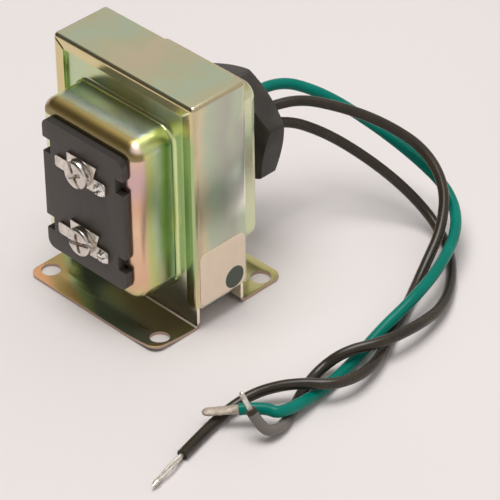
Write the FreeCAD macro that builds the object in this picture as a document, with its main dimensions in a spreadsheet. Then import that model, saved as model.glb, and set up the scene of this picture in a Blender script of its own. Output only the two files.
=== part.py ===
import FreeCAD, Part
import math
import os
import re
from collections import namedtuple

import Sketcher
from FreeCAD import Placement, Rotation, Vector

# Doorbell transformer with two end bells, a wrapper band and three loose leads.
# Millimetres. X runs to the right, Y to the rear and Z up.
# The origin is the middle of the four foot holes, on the surface that the feet stand on.

SIZES = {
    # case
    "sheet_gauge": 0.9,
    "band_width": 50.0,
    "band_depth": 18.0,
    "band_top": 67.3,
    "band_bottom": 6.5,
    "band_bend": 1.2,
    "side_lip": 3.6,
    "top_lip": 3.4,
    "corner_gap": 0.8,
    "tab_length": 9.8,
    "tab_reach": 6.0,
    "tab_gap": 0.1,
    "tab_bend": 0.8,
    "case_clearance": 0.2,
    # end bells and feet
    "bell_side_margin": 6.5,
    "bell_top_margin": 8.4,
    "bell_foot_margin": 3.2,
    "bell_depth": 12.75,
    "bell_corner": 4.5,
    "bell_edge": 3.0,
    "bell_root": 1.2,
    "foot_reach": 14.5,
    "foot_bend": 0.7,
    "foot_corner": 3.0,
    "foot_hole_radius": 2.6,
    "foot_hole_inset": 3.5,
    "foot_hole_out": 9.7,
    "window_side_rim": 4.5,
    "window_end_rim": 7.1,
    "window_corner": 2.0,
    # terminal board
    "board_side_margin": 2.9,
    "board_end_margin": 4.1,
    "board_thickness": 2.1,
    "board_corner": 2.4,
    "notch_height": 4.1,
    "snap_width": 3.4,
    "snap_thickness": 1.4,
    "snap_lap": 0.4,
    "snap_end_gap": 4.8,
    "snap_reach": 1.5,
    "snap_hook": 0.8,
    "snap_clearance": 0.1,
    # terminals
    "terminal_end_gap": 9.3,
    "plate_gauge": 0.8,
    "plate_half_width": 4.7,
    "plate_up": 3.9,
    "plate_down": 3.6,
    "tongue_end": 9.3,
    "tongue_up": 1.0,
    "tongue_down": 2.4,
    "tongue_corner": 0.8,
    "ear_reach": 1.2,
    "crimp_end": 8.9,
    "crimp_up": 0.4,
    "crimp_down": 3.2,
    "eyelet_across": 6.9,
    "eyelet_drop": 1.6,
    "eyelet_bore": 0.65,
    "eyelet_wall": 0.4,
    "eyelet_rim": 0.75,
    "eyelet_rim_height": 0.45,
    "screw_radius": 1.75,
    "screw_length": 5.5,
    "screw_head_radius": 3.9,
    "screw_head_height": 2.2,
    "screw_dome": 1.1,
    "recess_depth": 1.2,
    "recess_width": 1.1,
    "recess_span": 4.6,
    "fit_clearance": 0.05,
    # conduit hub and nut
    "hub_radius": 10.4,
    "hub_bore": 6.5,
    "hub_proud": 1.2,
    "hub_rim": 1.2,
    "hub_rim_height": 1.6,
    "hub_catch": 1.0,
    "hub_clearance": 0.1,
    "nut_flats": 28.6,
    "nut_gap": 4.65,
    "nut_length": 6.8,
    "nut_turn": 18.0,
    "nut_chamfer_angle": 25.0,
    "nut_corner": 1.2,
    "nut_clearance": 0.15,
    # core and coil
    "core_top_gap": 1.2,
    "bobbin_clearance": 0.2,
    "bobbin_wall": 1.0,
    "bobbin_margin": 0.3,
    "bobbin_overhang": 1.0,
    "primary_build": 3.7,
    "wrap_build": 0.3,
    "secondary_build": 2.3,
    "coil_corner": 1.8,
    "fuse_radius": 1.5,
    "fuse_length": 8.0,
    "fuse_pin_radius": 0.4,
    "fuse_pin_length": 2.5,
    "fuse_end_gap": 1.6,
    "fuse_drop": 9.2,
    # label on the right side
    "label_gauge": 0.12,
    "label_width": 15.4,
    "label_height": 15.7,
    "label_lift": 0.2,
    "label_corner": 1.6,
    # ground lug and rivet
    "lug_gauge": 0.8,
    "lug_gap": 0.7,
    "lug_width": 5.0,
    "lug_foot_drop": 2.5,
    "lug_hub_gap": 0.6,
    "lug_step_rise": 2.0,
    "lug_top_margin": 3.8,
    "rivet_head_height": 1.0,
    "rivet_tail_height": 0.8,
    # leads
    "ground_radius": 1.5,
    "lead_radius": 1.4,
    "ground_strip": 9.0,
    "line_strip": 13.3,
    "neutral_strip": 5.0,
    "ground_strand_radius": 1.15,
    "strand_radius": 0.7,
}

# Shares of the lug's seat that the rivet's shank, head and tail reach from its middle
SHANK_SHARE = 0.286
HEAD_SHARE = 0.536
TAIL_SHARE = 0.446

# Planes and levels that several pieces share, worked out from the sizes
FLANGE_BACK = "(band_depth / 2 - 2 * sheet_gauge)"
FLANGE_FACE = "(band_depth / 2 - sheet_gauge)"
BELL_FACE = f"({FLANGE_FACE} + bell_depth)"
BELL_INSIDE = f"({BELL_FACE} - sheet_gauge)"
BOARD_FACE = f"({BELL_FACE} + board_thickness)"
PLATE_FACE = f"({BOARD_FACE} + plate_gauge)"
BAND_EDGE = "(band_bottom + sheet_gauge)"
BAND_INSIDE = "(band_width / 2 - sheet_gauge)"
COVER_HALF_WIDTH = f"({BAND_INSIDE} - case_clearance)"
COVER_TOP = "(band_top - sheet_gauge - case_clearance)"
FOOT_EDGE = f"({FLANGE_FACE} + foot_reach)"
BELL_HALF_WIDTH = f"({COVER_HALF_WIDTH} - bell_side_margin)"
BELL_LOW = f"({BAND_EDGE} + bell_foot_margin)"
BELL_HIGH = f"({COVER_TOP} - bell_top_margin)"
BELL_MIDDLE = f"(({BELL_LOW} + {BELL_HIGH}) / 2)"
WINDOW_HALF_WIDTH = f"({BELL_HALF_WIDTH} - window_side_rim)"
BOARD_HALF_WIDTH = f"({BELL_HALF_WIDTH} - board_side_margin)"
SNAP_SIDE = f"({WINDOW_HALF_WIDTH} - snap_clearance)"
SNAP_OFFSET = f"({BELL_HIGH} - {BELL_MIDDLE} - window_end_rim - snap_end_gap)"
TERMINAL_OFFSET = f"({BELL_HIGH} - {BELL_MIDDLE} - board_end_margin - terminal_end_gap)"
NUT_FRONT = f"({BELL_FACE} + nut_gap)"
CORE_LEG = f"(({COVER_TOP} - core_top_gap - {BAND_EDGE}) / 6)"
CORE_MIDDLE = f"({BAND_EDGE} + 3 * {CORE_LEG})"
CORE_SIDE = COVER_HALF_WIDTH
CORE_OPENING = f"(2 * ({CORE_SIDE} - {CORE_LEG}))"
TUBE_HALF_DEPTH = f"({FLANGE_BACK} + bobbin_clearance + bobbin_wall)"
TUBE_HALF_HEIGHT = f"({CORE_LEG} + bobbin_clearance + bobbin_wall)"
COIL_BUILD = "(primary_build + secondary_build + 2 * wrap_build)"
COIL_FACE = f"({TUBE_HALF_DEPTH} + {COIL_BUILD})"
BOBBIN_HALF_LENGTH = f"({CORE_OPENING} / 2 - bobbin_clearance)"
FUSE_ACROSS = f"({BOBBIN_HALF_LENGTH} - bobbin_wall - fuse_end_gap - fuse_length / 2)"
LUG_TOP = f"({BELL_HIGH} - lug_top_margin)"
LUG_STEP = f"({BELL_MIDDLE} + hub_radius + hub_rim + lug_hub_gap)"
LUG_SEAT = f"({LUG_TOP} - {LUG_STEP} - lug_step_rise)"
RIVET_HEIGHT = f"({LUG_TOP} - {LUG_SEAT} / 2)"
RIVET_RADIUS = f"({LUG_SEAT} * {SHANK_SHARE})"
RIVET_HEAD = f"({LUG_SEAT} * {HEAD_SHARE})"
RIVET_TAIL = f"({LUG_SEAT} * {TAIL_SHARE})"

# Routes of the leads from the coil or the ground lug to the end of the insulation
GROUND_ROUTE = [
    (-3.0, 16.5, 36.0),
    (-3.0, 31.0, 36.0),
    (-4.0, 48.0, 36.0),
    (2.5, 57.5, 31.0),
    (13.5, 64.0, 24.2),
    (27.0, 68.0, 17.3),
    (38.5, 69.5, 11.0),
    (49.0, 61.5, 8.5),
    (56.5, 46.5, 8.0),
    (60.0, 32.5, 7.0),
    (60.0, 21.5, 4.0),
    (62.0, 9.0, 1.6),
    (64.5, -4.0, 1.6),
    (67.3, -17.3, 4.9),
    (62.2, -22.4, 5.4),
    (58.0, -27.0, 5.0),
]
LINE_ROUTE = [
    (3.0, 15.0, 36.0),
    (3.0, 29.0, 36.0),
    (5.5, 44.5, 36.5),
    (13.5, 54.0, 33.0),
    (21.5, 62.4, 27.6),
    (31.5, 67.3, 21.8),
    (41.0, 65.0, 15.5),
    (47.0, 57.0, 9.0),
    (50.0, 48.0, 4.5),
    (54.5, 37.5, 1.5),
    (61.0, 24.0, 1.5),
    (69.0, 8.5, 3.5),
    (69.5, -4.5, 6.0),
    (61.5, -11.0, 6.0),
    (55.5, -18.0, 4.0),
    (53.5, -25.5, 2.0),
    (55.0, -35.5, 1.5),
    (57.5, -45.5, 1.5),
]
NEUTRAL_ROUTE = [
    (0.5, 15.0, 31.0),
    (0.5, 27.5, 31.0),
    (5.5, 41.0, 31.6),
    (12.0, 49.5, 26.6),
    (21.0, 56.5, 19.3),
    (30.0, 62.0, 11.0),
    (39.5, 63.5, 4.0),
    (51.5, 57.0, 1.5),
    (63.5, 41.5, 2.5),
    (67.0, 26.5, 5.5),
    (66.0, 14.5, 6.5),
    (61.5, 6.5, 6.0),
    (58.5, 0.0, 2.0),
    (61.5, -9.5, 1.5),
    (66.5, -19.0, 1.5),
    (68.6, -24.8, 2.2),
    (66.8, -27.8, 4.0),
    (63.5, -28.5, 9.0),
]
ARC_SHARE = 0.45

TOLERANCE = 1e-4
FRONT = Rotation(Vector(0, 0, 1), 0)
REAR = Rotation(Vector(0, 0, 1), 180)

Disc = namedtuple("Disc", "x y radius")

doc = FreeCAD.newDocument("DoorbellTransformer")
sizes = doc.addObject("Spreadsheet::Sheet", "Sizes")
for row, (alias, value) in enumerate(SIZES.items(), start=1):
    sizes.set(f"A{row}", alias)
    sizes.set(f"B{row}", str(value))
    sizes.setAlias(f"B{row}", alias)
doc.recompute()

pieces = []


def cells(text):
    """Write each size name in an expression as a cell of the sheet."""
    return re.sub(r"[a-z_]+", lambda word: f"Sizes.{word[0]}" if word[0] in SIZES else word[0], text)


def rectangle(left, bottom, right, top):
    """Corners of an upright rectangle."""
    return [(left, bottom), (right, bottom), (right, top), (left, top)]


def centred(half_width, bottom, top):
    """Corners of a rectangle that is symmetric about the sketch's upright axis."""
    return rectangle(f"-{half_width}", bottom, half_width, top)


def new_body(label):
    """Start a sub-part."""
    body = doc.addObject("PartDesign::Body", label)
    body.Label = label
    pieces.append(body)
    return body


def place(item, x="0", y="0", z="0", turn=FRONT):
    """Turn a sub-part, then put its own origin at x, y, z."""
    item.Placement = Placement(Vector(), turn)
    item.setExpression("Placement.Base.x", cells(x))
    item.setExpression("Placement.Base.y", cells(y))
    item.setExpression("Placement.Base.z", cells(z))


def draw_polygon(sketch, corners):
    """Draw a closed outline whose corners are bound to the sheet."""
    first = sketch.GeometryCount
    count = len(corners)
    angles = [2 * math.pi * index / count for index in range(count)]
    points = [Vector(math.cos(angle), math.sin(angle), 0) for angle in angles]
    for index in range(count):
        sketch.addGeometry(Part.LineSegment(points[index], points[(index + 1) % count]), False)
    for index in range(count):
        follower = first + (index + 1) % count
        sketch.addConstraint(Sketcher.Constraint("Coincident", first + index, 2, follower, 1))
    for index, corner in enumerate(corners):
        for kind, text in zip(("DistanceX", "DistanceY"), corner):
            bound = sketch.addConstraint(Sketcher.Constraint(kind, -1, 1, first + index, 1, 1.0))
            sketch.setExpression(f"Constraints[{bound}]", cells(text))


def draw_disc(sketch, disc):
    """Draw a circle whose centre and radius are bound to the sheet."""
    circle = sketch.addGeometry(Part.Circle(Vector(), Vector(0, 0, 1), 1.0), False)
    for kind, text in zip(("DistanceX", "DistanceY"), (disc.x, disc.y)):
        bound = sketch.addConstraint(Sketcher.Constraint(kind, -1, 1, circle, 3, 1.0))
        sketch.setExpression(f"Constraints[{bound}]", cells(text))
    bound = sketch.addConstraint(Sketcher.Constraint("Radius", circle, 1.0))
    sketch.setExpression(f"Constraints[{bound}]", cells(disc.radius))


def new_sketch(body, plane, loops, offset="0"):
    """Draw outlines on one of the body's own planes, moved along that plane's normal."""
    sketch = body.newObject("Sketcher::SketchObject", f"{body.Label}_sketch")
    support = next(item for item in body.Origin.OriginFeatures if item.Role == f"{plane}_Plane")
    sketch.AttachmentSupport = (support, [""])
    sketch.MapMode = "FlatFace"
    sketch.setExpression("AttachmentOffset.Base.z", cells(offset))
    for loop in loops:
        if isinstance(loop, Disc):
            draw_disc(sketch, loop)
        else:
            draw_polygon(sketch, loop)
    return sketch


def extrude(body, kind, sketch, length, both=False, back=False):
    """Pad or pocket a sketch along its normal, back along it, or to both sides."""
    feature = body.newObject(f"PartDesign::{kind}", f"{body.Label}_{kind.lower()}")
    feature.Profile = sketch
    feature.Type = 0
    feature.setExpression("Length", cells(length))
    feature.SideType = "Symmetric" if both else "One side"
    feature.Reversed = back
    doc.recompute()
    return feature


def pad(body, sketch, length, **options):
    """Add material."""
    return extrude(body, "Pad", sketch, length, **options)


def pocket(body, sketch, length, **options):
    """Cut material away."""
    before = body.Shape.Volume
    feature = extrude(body, "Pocket", sketch, length, **options)
    if body.Shape.Volume > before - TOLERANCE:
        raise RuntimeError(f"a pocket of {body.Label} cuts nothing")
    return feature


def revolve(body, kind, sketch, axis):
    """Turn a sketch right round one of its own axes, to add or to cut."""
    feature = body.newObject(f"PartDesign::{kind}", f"{body.Label}_{kind.lower()}")
    feature.Profile = sketch
    feature.ReferenceAxis = (sketch, [axis])
    feature.Angle = 360
    doc.recompute()
    return feature


def fillet(body, radius, chosen):
    """Round the edges of the body's shape that the given test chooses."""
    base = body.Tip
    names = [f"Edge{index}" for index, edge in enumerate(base.Shape.Edges, start=1) if chosen(edge.BoundBox)]
    if not names:
        raise RuntimeError(f"a fillet of {body.Label} finds no edge")
    feature = body.newObject("PartDesign::Fillet", f"{body.Label}_fillet")
    feature.Base = (base, names)
    feature.setExpression("Radius", cells(radius))
    doc.recompute()
    return feature


def near(first, second):
    """Whether two lengths are the same."""
    return abs(first - second) < TOLERANCE


def across_y(box, level):
    """Whether an edge's box lies flat in the plane at that Y."""
    return near(box.YMin, level) and near(box.YMax, level)


def within(box, outer):
    """Whether an edge's box lies inside another box in X and Z, clear of its sides."""
    clear_x = box.XMin > outer.XMin + TOLERANCE and box.XMax < outer.XMax - TOLERANCE
    clear_z = box.ZMin > outer.ZMin + TOLERANCE and box.ZMax < outer.ZMax - TOLERANCE
    return clear_x and clear_z


def make_cover(label, turn):
    """Draw one end bell with its flange, leg and foot, as it stands at the front."""
    body = new_body(label)
    gauge = sizes.sheet_gauge
    flange = new_sketch(body, "XZ", [centred(COVER_HALF_WIDTH, "0", COVER_TOP)], FLANGE_BACK)
    pad(body, flange, "sheet_gauge")
    plate = body.Shape.BoundBox

    bell = new_sketch(body, "XZ", [centred(BELL_HALF_WIDTH, BELL_LOW, BELL_HIGH)], FLANGE_FACE)
    pad(body, bell, "bell_depth")
    half = f"({BELL_HALF_WIDTH} - sheet_gauge)"
    hollow = centred(half, f"{BELL_LOW} + sheet_gauge", f"{BELL_HIGH} - sheet_gauge")
    cavity = new_sketch(body, "XZ", [hollow], FLANGE_BACK)
    pocket(body, cavity, "bell_depth", back=True)
    root = bell.Placement.Base.y
    mouth = cavity.Placement.Base.y
    face = root - sizes.bell_depth
    floor = mouth - sizes.bell_depth
    fillet(body, "bell_corner - sheet_gauge", lambda box: box.YLength > 2 * gauge and near(box.YMax, mouth))
    fillet(body, "bell_corner", lambda box: box.YLength > 2 * gauge and near(box.YMax, root))
    fillet(body, "bell_edge - sheet_gauge", lambda box: across_y(box, floor))
    fillet(body, "bell_edge", lambda box: across_y(box, face))
    fillet(body, "bell_root", lambda box: across_y(box, root) and within(box, plate))
    fillet(body, "bell_root + sheet_gauge", lambda box: across_y(box, mouth) and within(box, plate))

    foot = new_sketch(body, "XZ", [centred(COVER_HALF_WIDTH, "0", "sheet_gauge")], FLANGE_BACK)
    pad(body, foot, f"{FOOT_EDGE} - {FLANGE_BACK}")
    toe = body.Shape.BoundBox.YMin

    def bend_edge(box):
        return across_y(box, root) and near(box.ZMin, gauge) and near(box.ZMax, gauge)

    fillet(body, "foot_bend", bend_edge)
    fillet(body, "foot_bend + sheet_gauge", lambda box: across_y(box, mouth) and near(box.ZMax, 0))
    fillet(body, "foot_corner", lambda box: across_y(box, toe) and near(box.ZLength, gauge))
    hole_x = f"({COVER_HALF_WIDTH} - foot_hole_inset)"
    hole_y = f"-({FLANGE_FACE} + foot_hole_out)"
    holes = [Disc(f"{side}{hole_x}", hole_y, "foot_hole_radius") for side in ("-", "")]
    pocket(body, new_sketch(body, "XY", holes), "2 * sheet_gauge", back=True)
    place(body, turn=turn)
    return body


def cut_bell_wall(body, loops):
    """Cut openings through the end wall of a bell."""
    wall = new_sketch(body, "XZ", loops, f"{BELL_INSIDE} - sheet_gauge")
    pocket(body, wall, "3 * sheet_gauge", back=True)


def make_front_cover():
    """Make the front bell, with the window that the terminal board covers."""
    body = make_cover("front_cover", FRONT)
    window = centred(WINDOW_HALF_WIDTH, f"{BELL_LOW} + window_end_rim", f"{BELL_HIGH} - window_end_rim")
    cut_bell_wall(body, [window])
    face = -sizes.band_depth / 2 + sizes.sheet_gauge - sizes.bell_depth

    def window_corner(box):
        upright = box.XLength < TOLERANCE and box.ZLength < TOLERANCE
        return upright and near(box.YMin, face) and near(box.YLength, sizes.sheet_gauge)

    fillet(body, "window_corner", window_corner)


def make_rear_cover():
    """Make the rear bell, with the holes for the conduit hub and the ground rivet."""
    body = make_cover("rear_cover", REAR)
    hub = Disc("0", BELL_MIDDLE, "hub_radius + hub_clearance")
    rivet = Disc(f"{-GROUND_ROUTE[0][0]}", RIVET_HEIGHT, f"{RIVET_RADIUS} + fit_clearance")
    cut_bell_wall(body, [hub, rivet])


def make_case_band():
    """Fold the wrapper: top, two sides, lips over both covers and tabs under the core."""
    body = new_body("case_band")
    block = new_sketch(body, "XZ", [centred("band_width / 2", BAND_EDGE, "band_top")])
    pad(body, block, "band_depth", both=True)
    edge = body.Shape.BoundBox.ZMin
    fillet(body, "band_bend", lambda box: box.ZMax > edge + TOLERANCE)
    below = f"{BAND_EDGE} - sheet_gauge"
    inside = new_sketch(body, "XZ", [centred(BAND_INSIDE, below, "band_top - sheet_gauge")])
    pocket(body, inside, "band_depth - 2 * sheet_gauge", both=True)
    opening = new_sketch(body, "XZ", [centred("(band_width / 2 - side_lip)", below, "band_top - top_lip")])
    pocket(body, opening, "band_depth + 2 * sheet_gauge", both=True)

    outer_z = "band_top - sheet_gauge"
    inner_z = "band_top - top_lip"
    gaps = []
    for side in ("-", ""):
        outer_x = f"{side}{BAND_INSIDE}"
        inner_x = f"{side}(band_width / 2 - side_lip - corner_gap)"
        corners = [
            (outer_x, outer_z),
            (outer_x, f"{outer_z} - corner_gap"),
            (inner_x, f"{inner_z} - corner_gap"),
            (inner_x, inner_z),
        ]
        gaps.append(corners)
    pocket(body, new_sketch(body, "XZ", gaps, "band_depth / 2"), "sheet_gauge")
    pocket(body, new_sketch(body, "XZ", gaps, "-band_depth / 2"), "sheet_gauge", back=True)

    front = f"-{FLANGE_BACK} + tab_gap"
    rear = f"{front} + tab_length"
    tabs = [
        rectangle("band_width / 2 - tab_reach", front, "band_width / 2", rear),
        rectangle("-band_width / 2", front, "-band_width / 2 + tab_reach", rear),
    ]
    pad(body, new_sketch(body, "XY", tabs, "band_bottom"), "sheet_gauge")
    under = body.Shape.BoundBox

    def tab_bend(box):
        outermost = near(box.XMin, under.XMax) or near(box.XMax, under.XMin)
        return outermost and near(box.ZMax, under.ZMin)

    fillet(body, "tab_bend", tab_bend)


def board_outline():
    """Corners of the terminal board, with its four edge notches."""
    side = BOARD_HALF_WIDTH
    inner = f"({SNAP_SIDE} - snap_thickness + snap_lap)"
    right = [(side, f"{BELL_LOW} + board_end_margin")]
    for level in ("-", "+"):
        middle = f"{BELL_MIDDLE} {level} {SNAP_OFFSET}"
        low = f"{middle} - notch_height / 2"
        high = f"{middle} + notch_height / 2"
        right += [(side, low), (inner, low), (inner, high), (side, high)]
    right.append((side, f"{BELL_HIGH} - board_end_margin"))
    left = [(f"-{x}", z) for x, z in reversed(right)]
    return right + left


def make_terminal_board():
    """Mould the terminal board with the snap legs that hold it in the window."""
    body = new_body("terminal_board")
    pad(body, new_sketch(body, "XZ", [board_outline()], BELL_FACE), "board_thickness")
    plate = body.Shape.BoundBox

    def board_corner(box):
        at_side = near(box.XMin, plate.XMax) or near(box.XMax, plate.XMin)
        at_end = near(box.ZMin, plate.ZMax) or near(box.ZMax, plate.ZMin)
        return at_side and at_end and box.XLength < TOLERANCE and box.ZLength < TOLERANCE

    fillet(body, "board_corner", board_corner)
    legs = []
    hooks = []
    for level in ("-", "+"):
        low = f"{BELL_MIDDLE} {level} {SNAP_OFFSET} - snap_width / 2"
        high = f"{BELL_MIDDLE} {level} {SNAP_OFFSET} + snap_width / 2"
        for side in ("-", ""):
            outer = f"{side}{SNAP_SIDE}"
            inner = f"{side}({SNAP_SIDE} - snap_thickness)"
            tip = f"{side}({SNAP_SIDE} + snap_hook)"
            legs.append([(inner, low), (outer, low), (outer, high), (inner, high)])
            hooks.append([(inner, low), (tip, low), (tip, high), (inner, high)])
    reach = "sheet_gauge + snap_clearance + snap_reach"
    pad(body, new_sketch(body, "XZ", legs, BELL_FACE), reach, back=True)
    behind = f"{BELL_INSIDE} - snap_clearance"
    pad(body, new_sketch(body, "XZ", hooks, behind), "snap_reach", back=True)
    holes = []
    for level in ("-", "+"):
        axis = f"{BELL_MIDDLE} {level} {TERMINAL_OFFSET}"
        holes.append(Disc("0", axis, "screw_radius + fit_clearance"))
        drop = f"{axis} - eyelet_drop"
        holes.append(Disc("eyelet_across", drop, "eyelet_bore + eyelet_wall + fit_clearance"))
    pocket(body, new_sketch(body, "XZ", holes, BOARD_FACE), "board_thickness")


def plate_outline():
    """Corners of a terminal plate about its screw, with a pointed ear at each upper corner."""
    half = "plate_half_width"
    return [
        ("-tongue_end", "-tongue_down"),
        (f"-{half}", "-tongue_down"),
        (f"-{half}", "-plate_down"),
        (half, "-plate_down"),
        (half, "-crimp_down"),
        ("crimp_end", "-crimp_down"),
        ("crimp_end", "crimp_up"),
        (half, "crimp_up"),
        (f"{half} + ear_reach", "plate_up"),
        (f"-{half}", "plate_up"),
        (f"-{half}", "tongue_up"),
        ("-tongue_end", "tongue_up"),
    ]


def make_terminal_plate(label, axis):
    """Press a terminal plate: two tongues and two pointed ears."""
    body = new_body(label)
    pad(body, new_sketch(body, "XZ", [plate_outline()]), "plate_gauge")
    shape = body.Shape.BoundBox

    def tongue_end(box):
        at_end = near(box.XMin, shape.XMax) or near(box.XMax, shape.XMin)
        return at_end and box.XLength < TOLERANCE and box.ZLength < TOLERANCE

    fillet(body, "tongue_corner", tongue_end)
    holes = [
        Disc("0", "0", "screw_radius + fit_clearance"),
        Disc("eyelet_across", "-eyelet_drop", "eyelet_bore + eyelet_wall + fit_clearance"),
    ]
    pocket(body, new_sketch(body, "XZ", holes), "plate_gauge", back=True)
    place(body, y=f"-{BOARD_FACE}", z=axis)


def make_terminal_screw(label, axis):
    """Make a binding-head screw with a cross and slot recess."""
    body = new_body(label)
    pad(body, new_sketch(body, "XZ", [Disc("0", "0", "screw_head_radius")]), "screw_head_height")
    front = body.Shape.BoundBox.YMin
    fillet(body, "screw_dome", lambda box: across_y(box, front))
    pad(body, new_sketch(body, "XZ", [Disc("0", "0", "screw_radius")]), "screw_length", back=True)
    slot = centred("screw_head_radius", "-recess_width / 2", "recess_width / 2")
    slot_floor = "screw_head_height - recess_depth / 2"
    pocket(body, new_sketch(body, "XZ", [slot], slot_floor), "recess_depth", back=True)
    cross = centred("(recess_width / 2)", "-recess_span / 2", "recess_span / 2")
    cross_floor = "screw_head_height - recess_depth"
    pocket(body, new_sketch(body, "XZ", [cross], cross_floor), "2 * recess_depth", back=True)
    place(body, y=f"-{PLATE_FACE}", z=axis)


def make_terminal_eyelet(label, axis):
    """Roll the tubular rivet that holds a plate's right tongue to the board."""
    body = new_body(label)
    barrel = "eyelet_bore + eyelet_wall"
    rim = f"{barrel} + eyelet_rim"
    behind = "plate_gauge + board_thickness"
    profile = [
        ("-eyelet_rim_height", "eyelet_bore"),
        (f"{behind} + eyelet_rim_height", "eyelet_bore"),
        (f"{behind} + eyelet_rim_height", rim),
        (behind, rim),
        (behind, barrel),
        ("0", barrel),
        ("0", rim),
        ("-eyelet_rim_height", rim),
    ]
    revolve(body, "Revolution", new_sketch(body, "YZ", [profile]), "H_Axis")
    place(body, x="eyelet_across", y=f"-{PLATE_FACE}", z=f"{axis} - eyelet_drop")


def make_tap_wire(label, axis):
    """Run a coil end from the coil's front face into its eyelet."""
    body = new_body(label)
    wire = Disc("eyelet_across", f"{axis} - eyelet_drop", "eyelet_bore - fit_clearance")
    pad(body, new_sketch(body, "XZ", [wire], COIL_FACE), f"{PLATE_FACE} - {COIL_FACE}")


def make_terminals():
    """Make the two screw terminals and what carries them."""
    for name, level in (("upper", "+"), ("lower", "-")):
        axis = f"{BELL_MIDDLE} {level} {TERMINAL_OFFSET}"
        make_terminal_plate(f"{name}_terminal_plate", axis)
        make_terminal_screw(f"{name}_terminal_screw", axis)
        make_terminal_eyelet(f"{name}_terminal_eyelet", axis)
        make_tap_wire(f"{name}_tap_wire", axis)


def make_conduit_hub():
    """Turn the threaded bushing: rim inside the bell, catch ring outside, and bore."""
    body = new_body("conduit_hub")
    end = f"{NUT_FRONT} + nut_length + hub_proud"
    profile = [
        (f"{BELL_INSIDE} - hub_rim_height", "hub_bore"),
        (end, "hub_bore"),
        (end, "hub_radius"),
        (f"{BELL_FACE} + 2 * hub_catch", "hub_radius"),
        (BELL_FACE, "hub_radius + hub_catch"),
        (BELL_FACE, "hub_radius"),
        (BELL_INSIDE, "hub_radius"),
        (BELL_INSIDE, "hub_radius + hub_rim"),
        (f"{BELL_INSIDE} - hub_rim_height", "hub_radius + hub_rim"),
    ]
    revolve(body, "Revolution", new_sketch(body, "YZ", [profile]), "H_Axis")
    place(body, z=BELL_MIDDLE)


def make_conduit_nut():
    """Make the six-sided locknut, chamfered at both ends."""
    body = new_body("conduit_nut")
    corner = "(nut_flats / sqrt(3))"
    half_flat = "(nut_flats / sqrt(12))"
    rim = "nut_flats / 2"
    hexagon = [
        (corner, "0"),
        (half_flat, rim),
        (f"-{half_flat}", rim),
        (f"-{corner}", "0"),
        (f"-{half_flat}", f"-{rim}"),
        (half_flat, f"-{rim}"),
    ]
    pad(body, new_sketch(body, "XZ", [hexagon]), "nut_length", back=True)
    fillet(body, "nut_corner", lambda box: box.YLength > TOLERANCE)
    outside = f"{corner} + 1"
    rise = f"({outside} - {rim}) * tan(nut_chamfer_angle * 1deg)"
    front_ring = [("0", rim), ("0", outside), (rise, outside)]
    rear_ring = [("nut_length", rim), (f"nut_length - {rise}", outside), ("nut_length", outside)]
    revolve(body, "Groove", new_sketch(body, "YZ", [front_ring, rear_ring]), "H_Axis")
    bore = Disc("0", "0", "hub_radius + nut_clearance")
    pocket(body, new_sketch(body, "XZ", [bore]), "nut_length")
    turn = Rotation(Vector(0, 1, 0), -sizes.nut_turn)
    place(body, y=NUT_FRONT, z=BELL_MIDDLE, turn=turn)


def make_core():
    """Stack the laminations: an E whose middle leg carries the coil, closed by an I."""
    left = f"-{CORE_SIDE}"
    yoke = f"-{CORE_SIDE} + {CORE_LEG}"
    meeting = f"{CORE_SIDE} - {CORE_LEG}"
    top = f"{BAND_EDGE} + 6 * {CORE_LEG}"
    outline = [(left, BAND_EDGE), (meeting, BAND_EDGE)]
    for leg in (1, 4):
        under = f"{BAND_EDGE} + {leg} * {CORE_LEG}"
        over = f"{BAND_EDGE} + {leg + 1} * {CORE_LEG}"
        outline += [(meeting, under), (yoke, under), (yoke, over), (meeting, over)]
    outline += [(meeting, top), (left, top)]
    stack = f"2 * {FLANGE_BACK}"
    e_core = new_body("e_core_stack")
    pad(e_core, new_sketch(e_core, "XZ", [outline]), stack, both=True)
    i_core = new_body("i_core_stack")
    bar = rectangle(meeting, BAND_EDGE, CORE_SIDE, top)
    pad(i_core, new_sketch(i_core, "XZ", [bar]), stack, both=True)


def coil_section(half_depth, half_height):
    """Corners of a section across the coil, about the middle leg."""
    return rectangle(f"-({half_depth})", f"-({half_height})", half_depth, half_height)


def make_bobbin():
    """Mould the spool that slides over the core's middle leg."""
    body = new_body("bobbin")
    tube = coil_section(TUBE_HALF_DEPTH, TUBE_HALF_HEIGHT)
    pad(body, new_sketch(body, "YZ", [tube]), f"2 * {BOBBIN_HALF_LENGTH}", both=True)
    flange = coil_section(f"{COIL_FACE} + bobbin_overhang", f"2 * {CORE_LEG} - bobbin_margin")
    pad(body, new_sketch(body, "YZ", [flange], BOBBIN_HALF_LENGTH), "bobbin_wall", back=True)
    pad(body, new_sketch(body, "YZ", [flange], f"-{BOBBIN_HALF_LENGTH}"), "bobbin_wall")
    bore = coil_section(f"{FLANGE_BACK} + bobbin_clearance", f"{CORE_LEG} + bobbin_clearance")
    pocket(body, new_sketch(body, "YZ", [bore]), CORE_OPENING, both=True)
    place(body, z=CORE_MIDDLE)


def make_coil_layer(label, under, build, inner_round, outer_round):
    """Wind one layer of the coil over the layers under it."""
    body = new_body(label)
    depth = f"{TUBE_HALF_DEPTH} + {under}"
    height = f"{TUBE_HALF_HEIGHT} + {under}"
    length = f"2 * ({BOBBIN_HALF_LENGTH} - bobbin_wall)"
    outer = coil_section(f"{depth} + {build}", f"{height} + {build}")
    pad(body, new_sketch(body, "YZ", [outer]), length, both=True)
    block = body.Shape.BoundBox
    pocket(body, new_sketch(body, "YZ", [coil_section(depth, height)]), CORE_OPENING, both=True)

    def at_outside(box):
        return near(abs(box.YMin), block.YMax) and near(abs(box.ZMin), block.ZMax)

    if inner_round:
        fillet(body, inner_round, lambda box: box.XLength > TOLERANCE and not at_outside(box))
    fillet(body, outer_round, lambda box: box.XLength > TOLERANCE and at_outside(box))
    place(body, z=CORE_MIDDLE)


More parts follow.
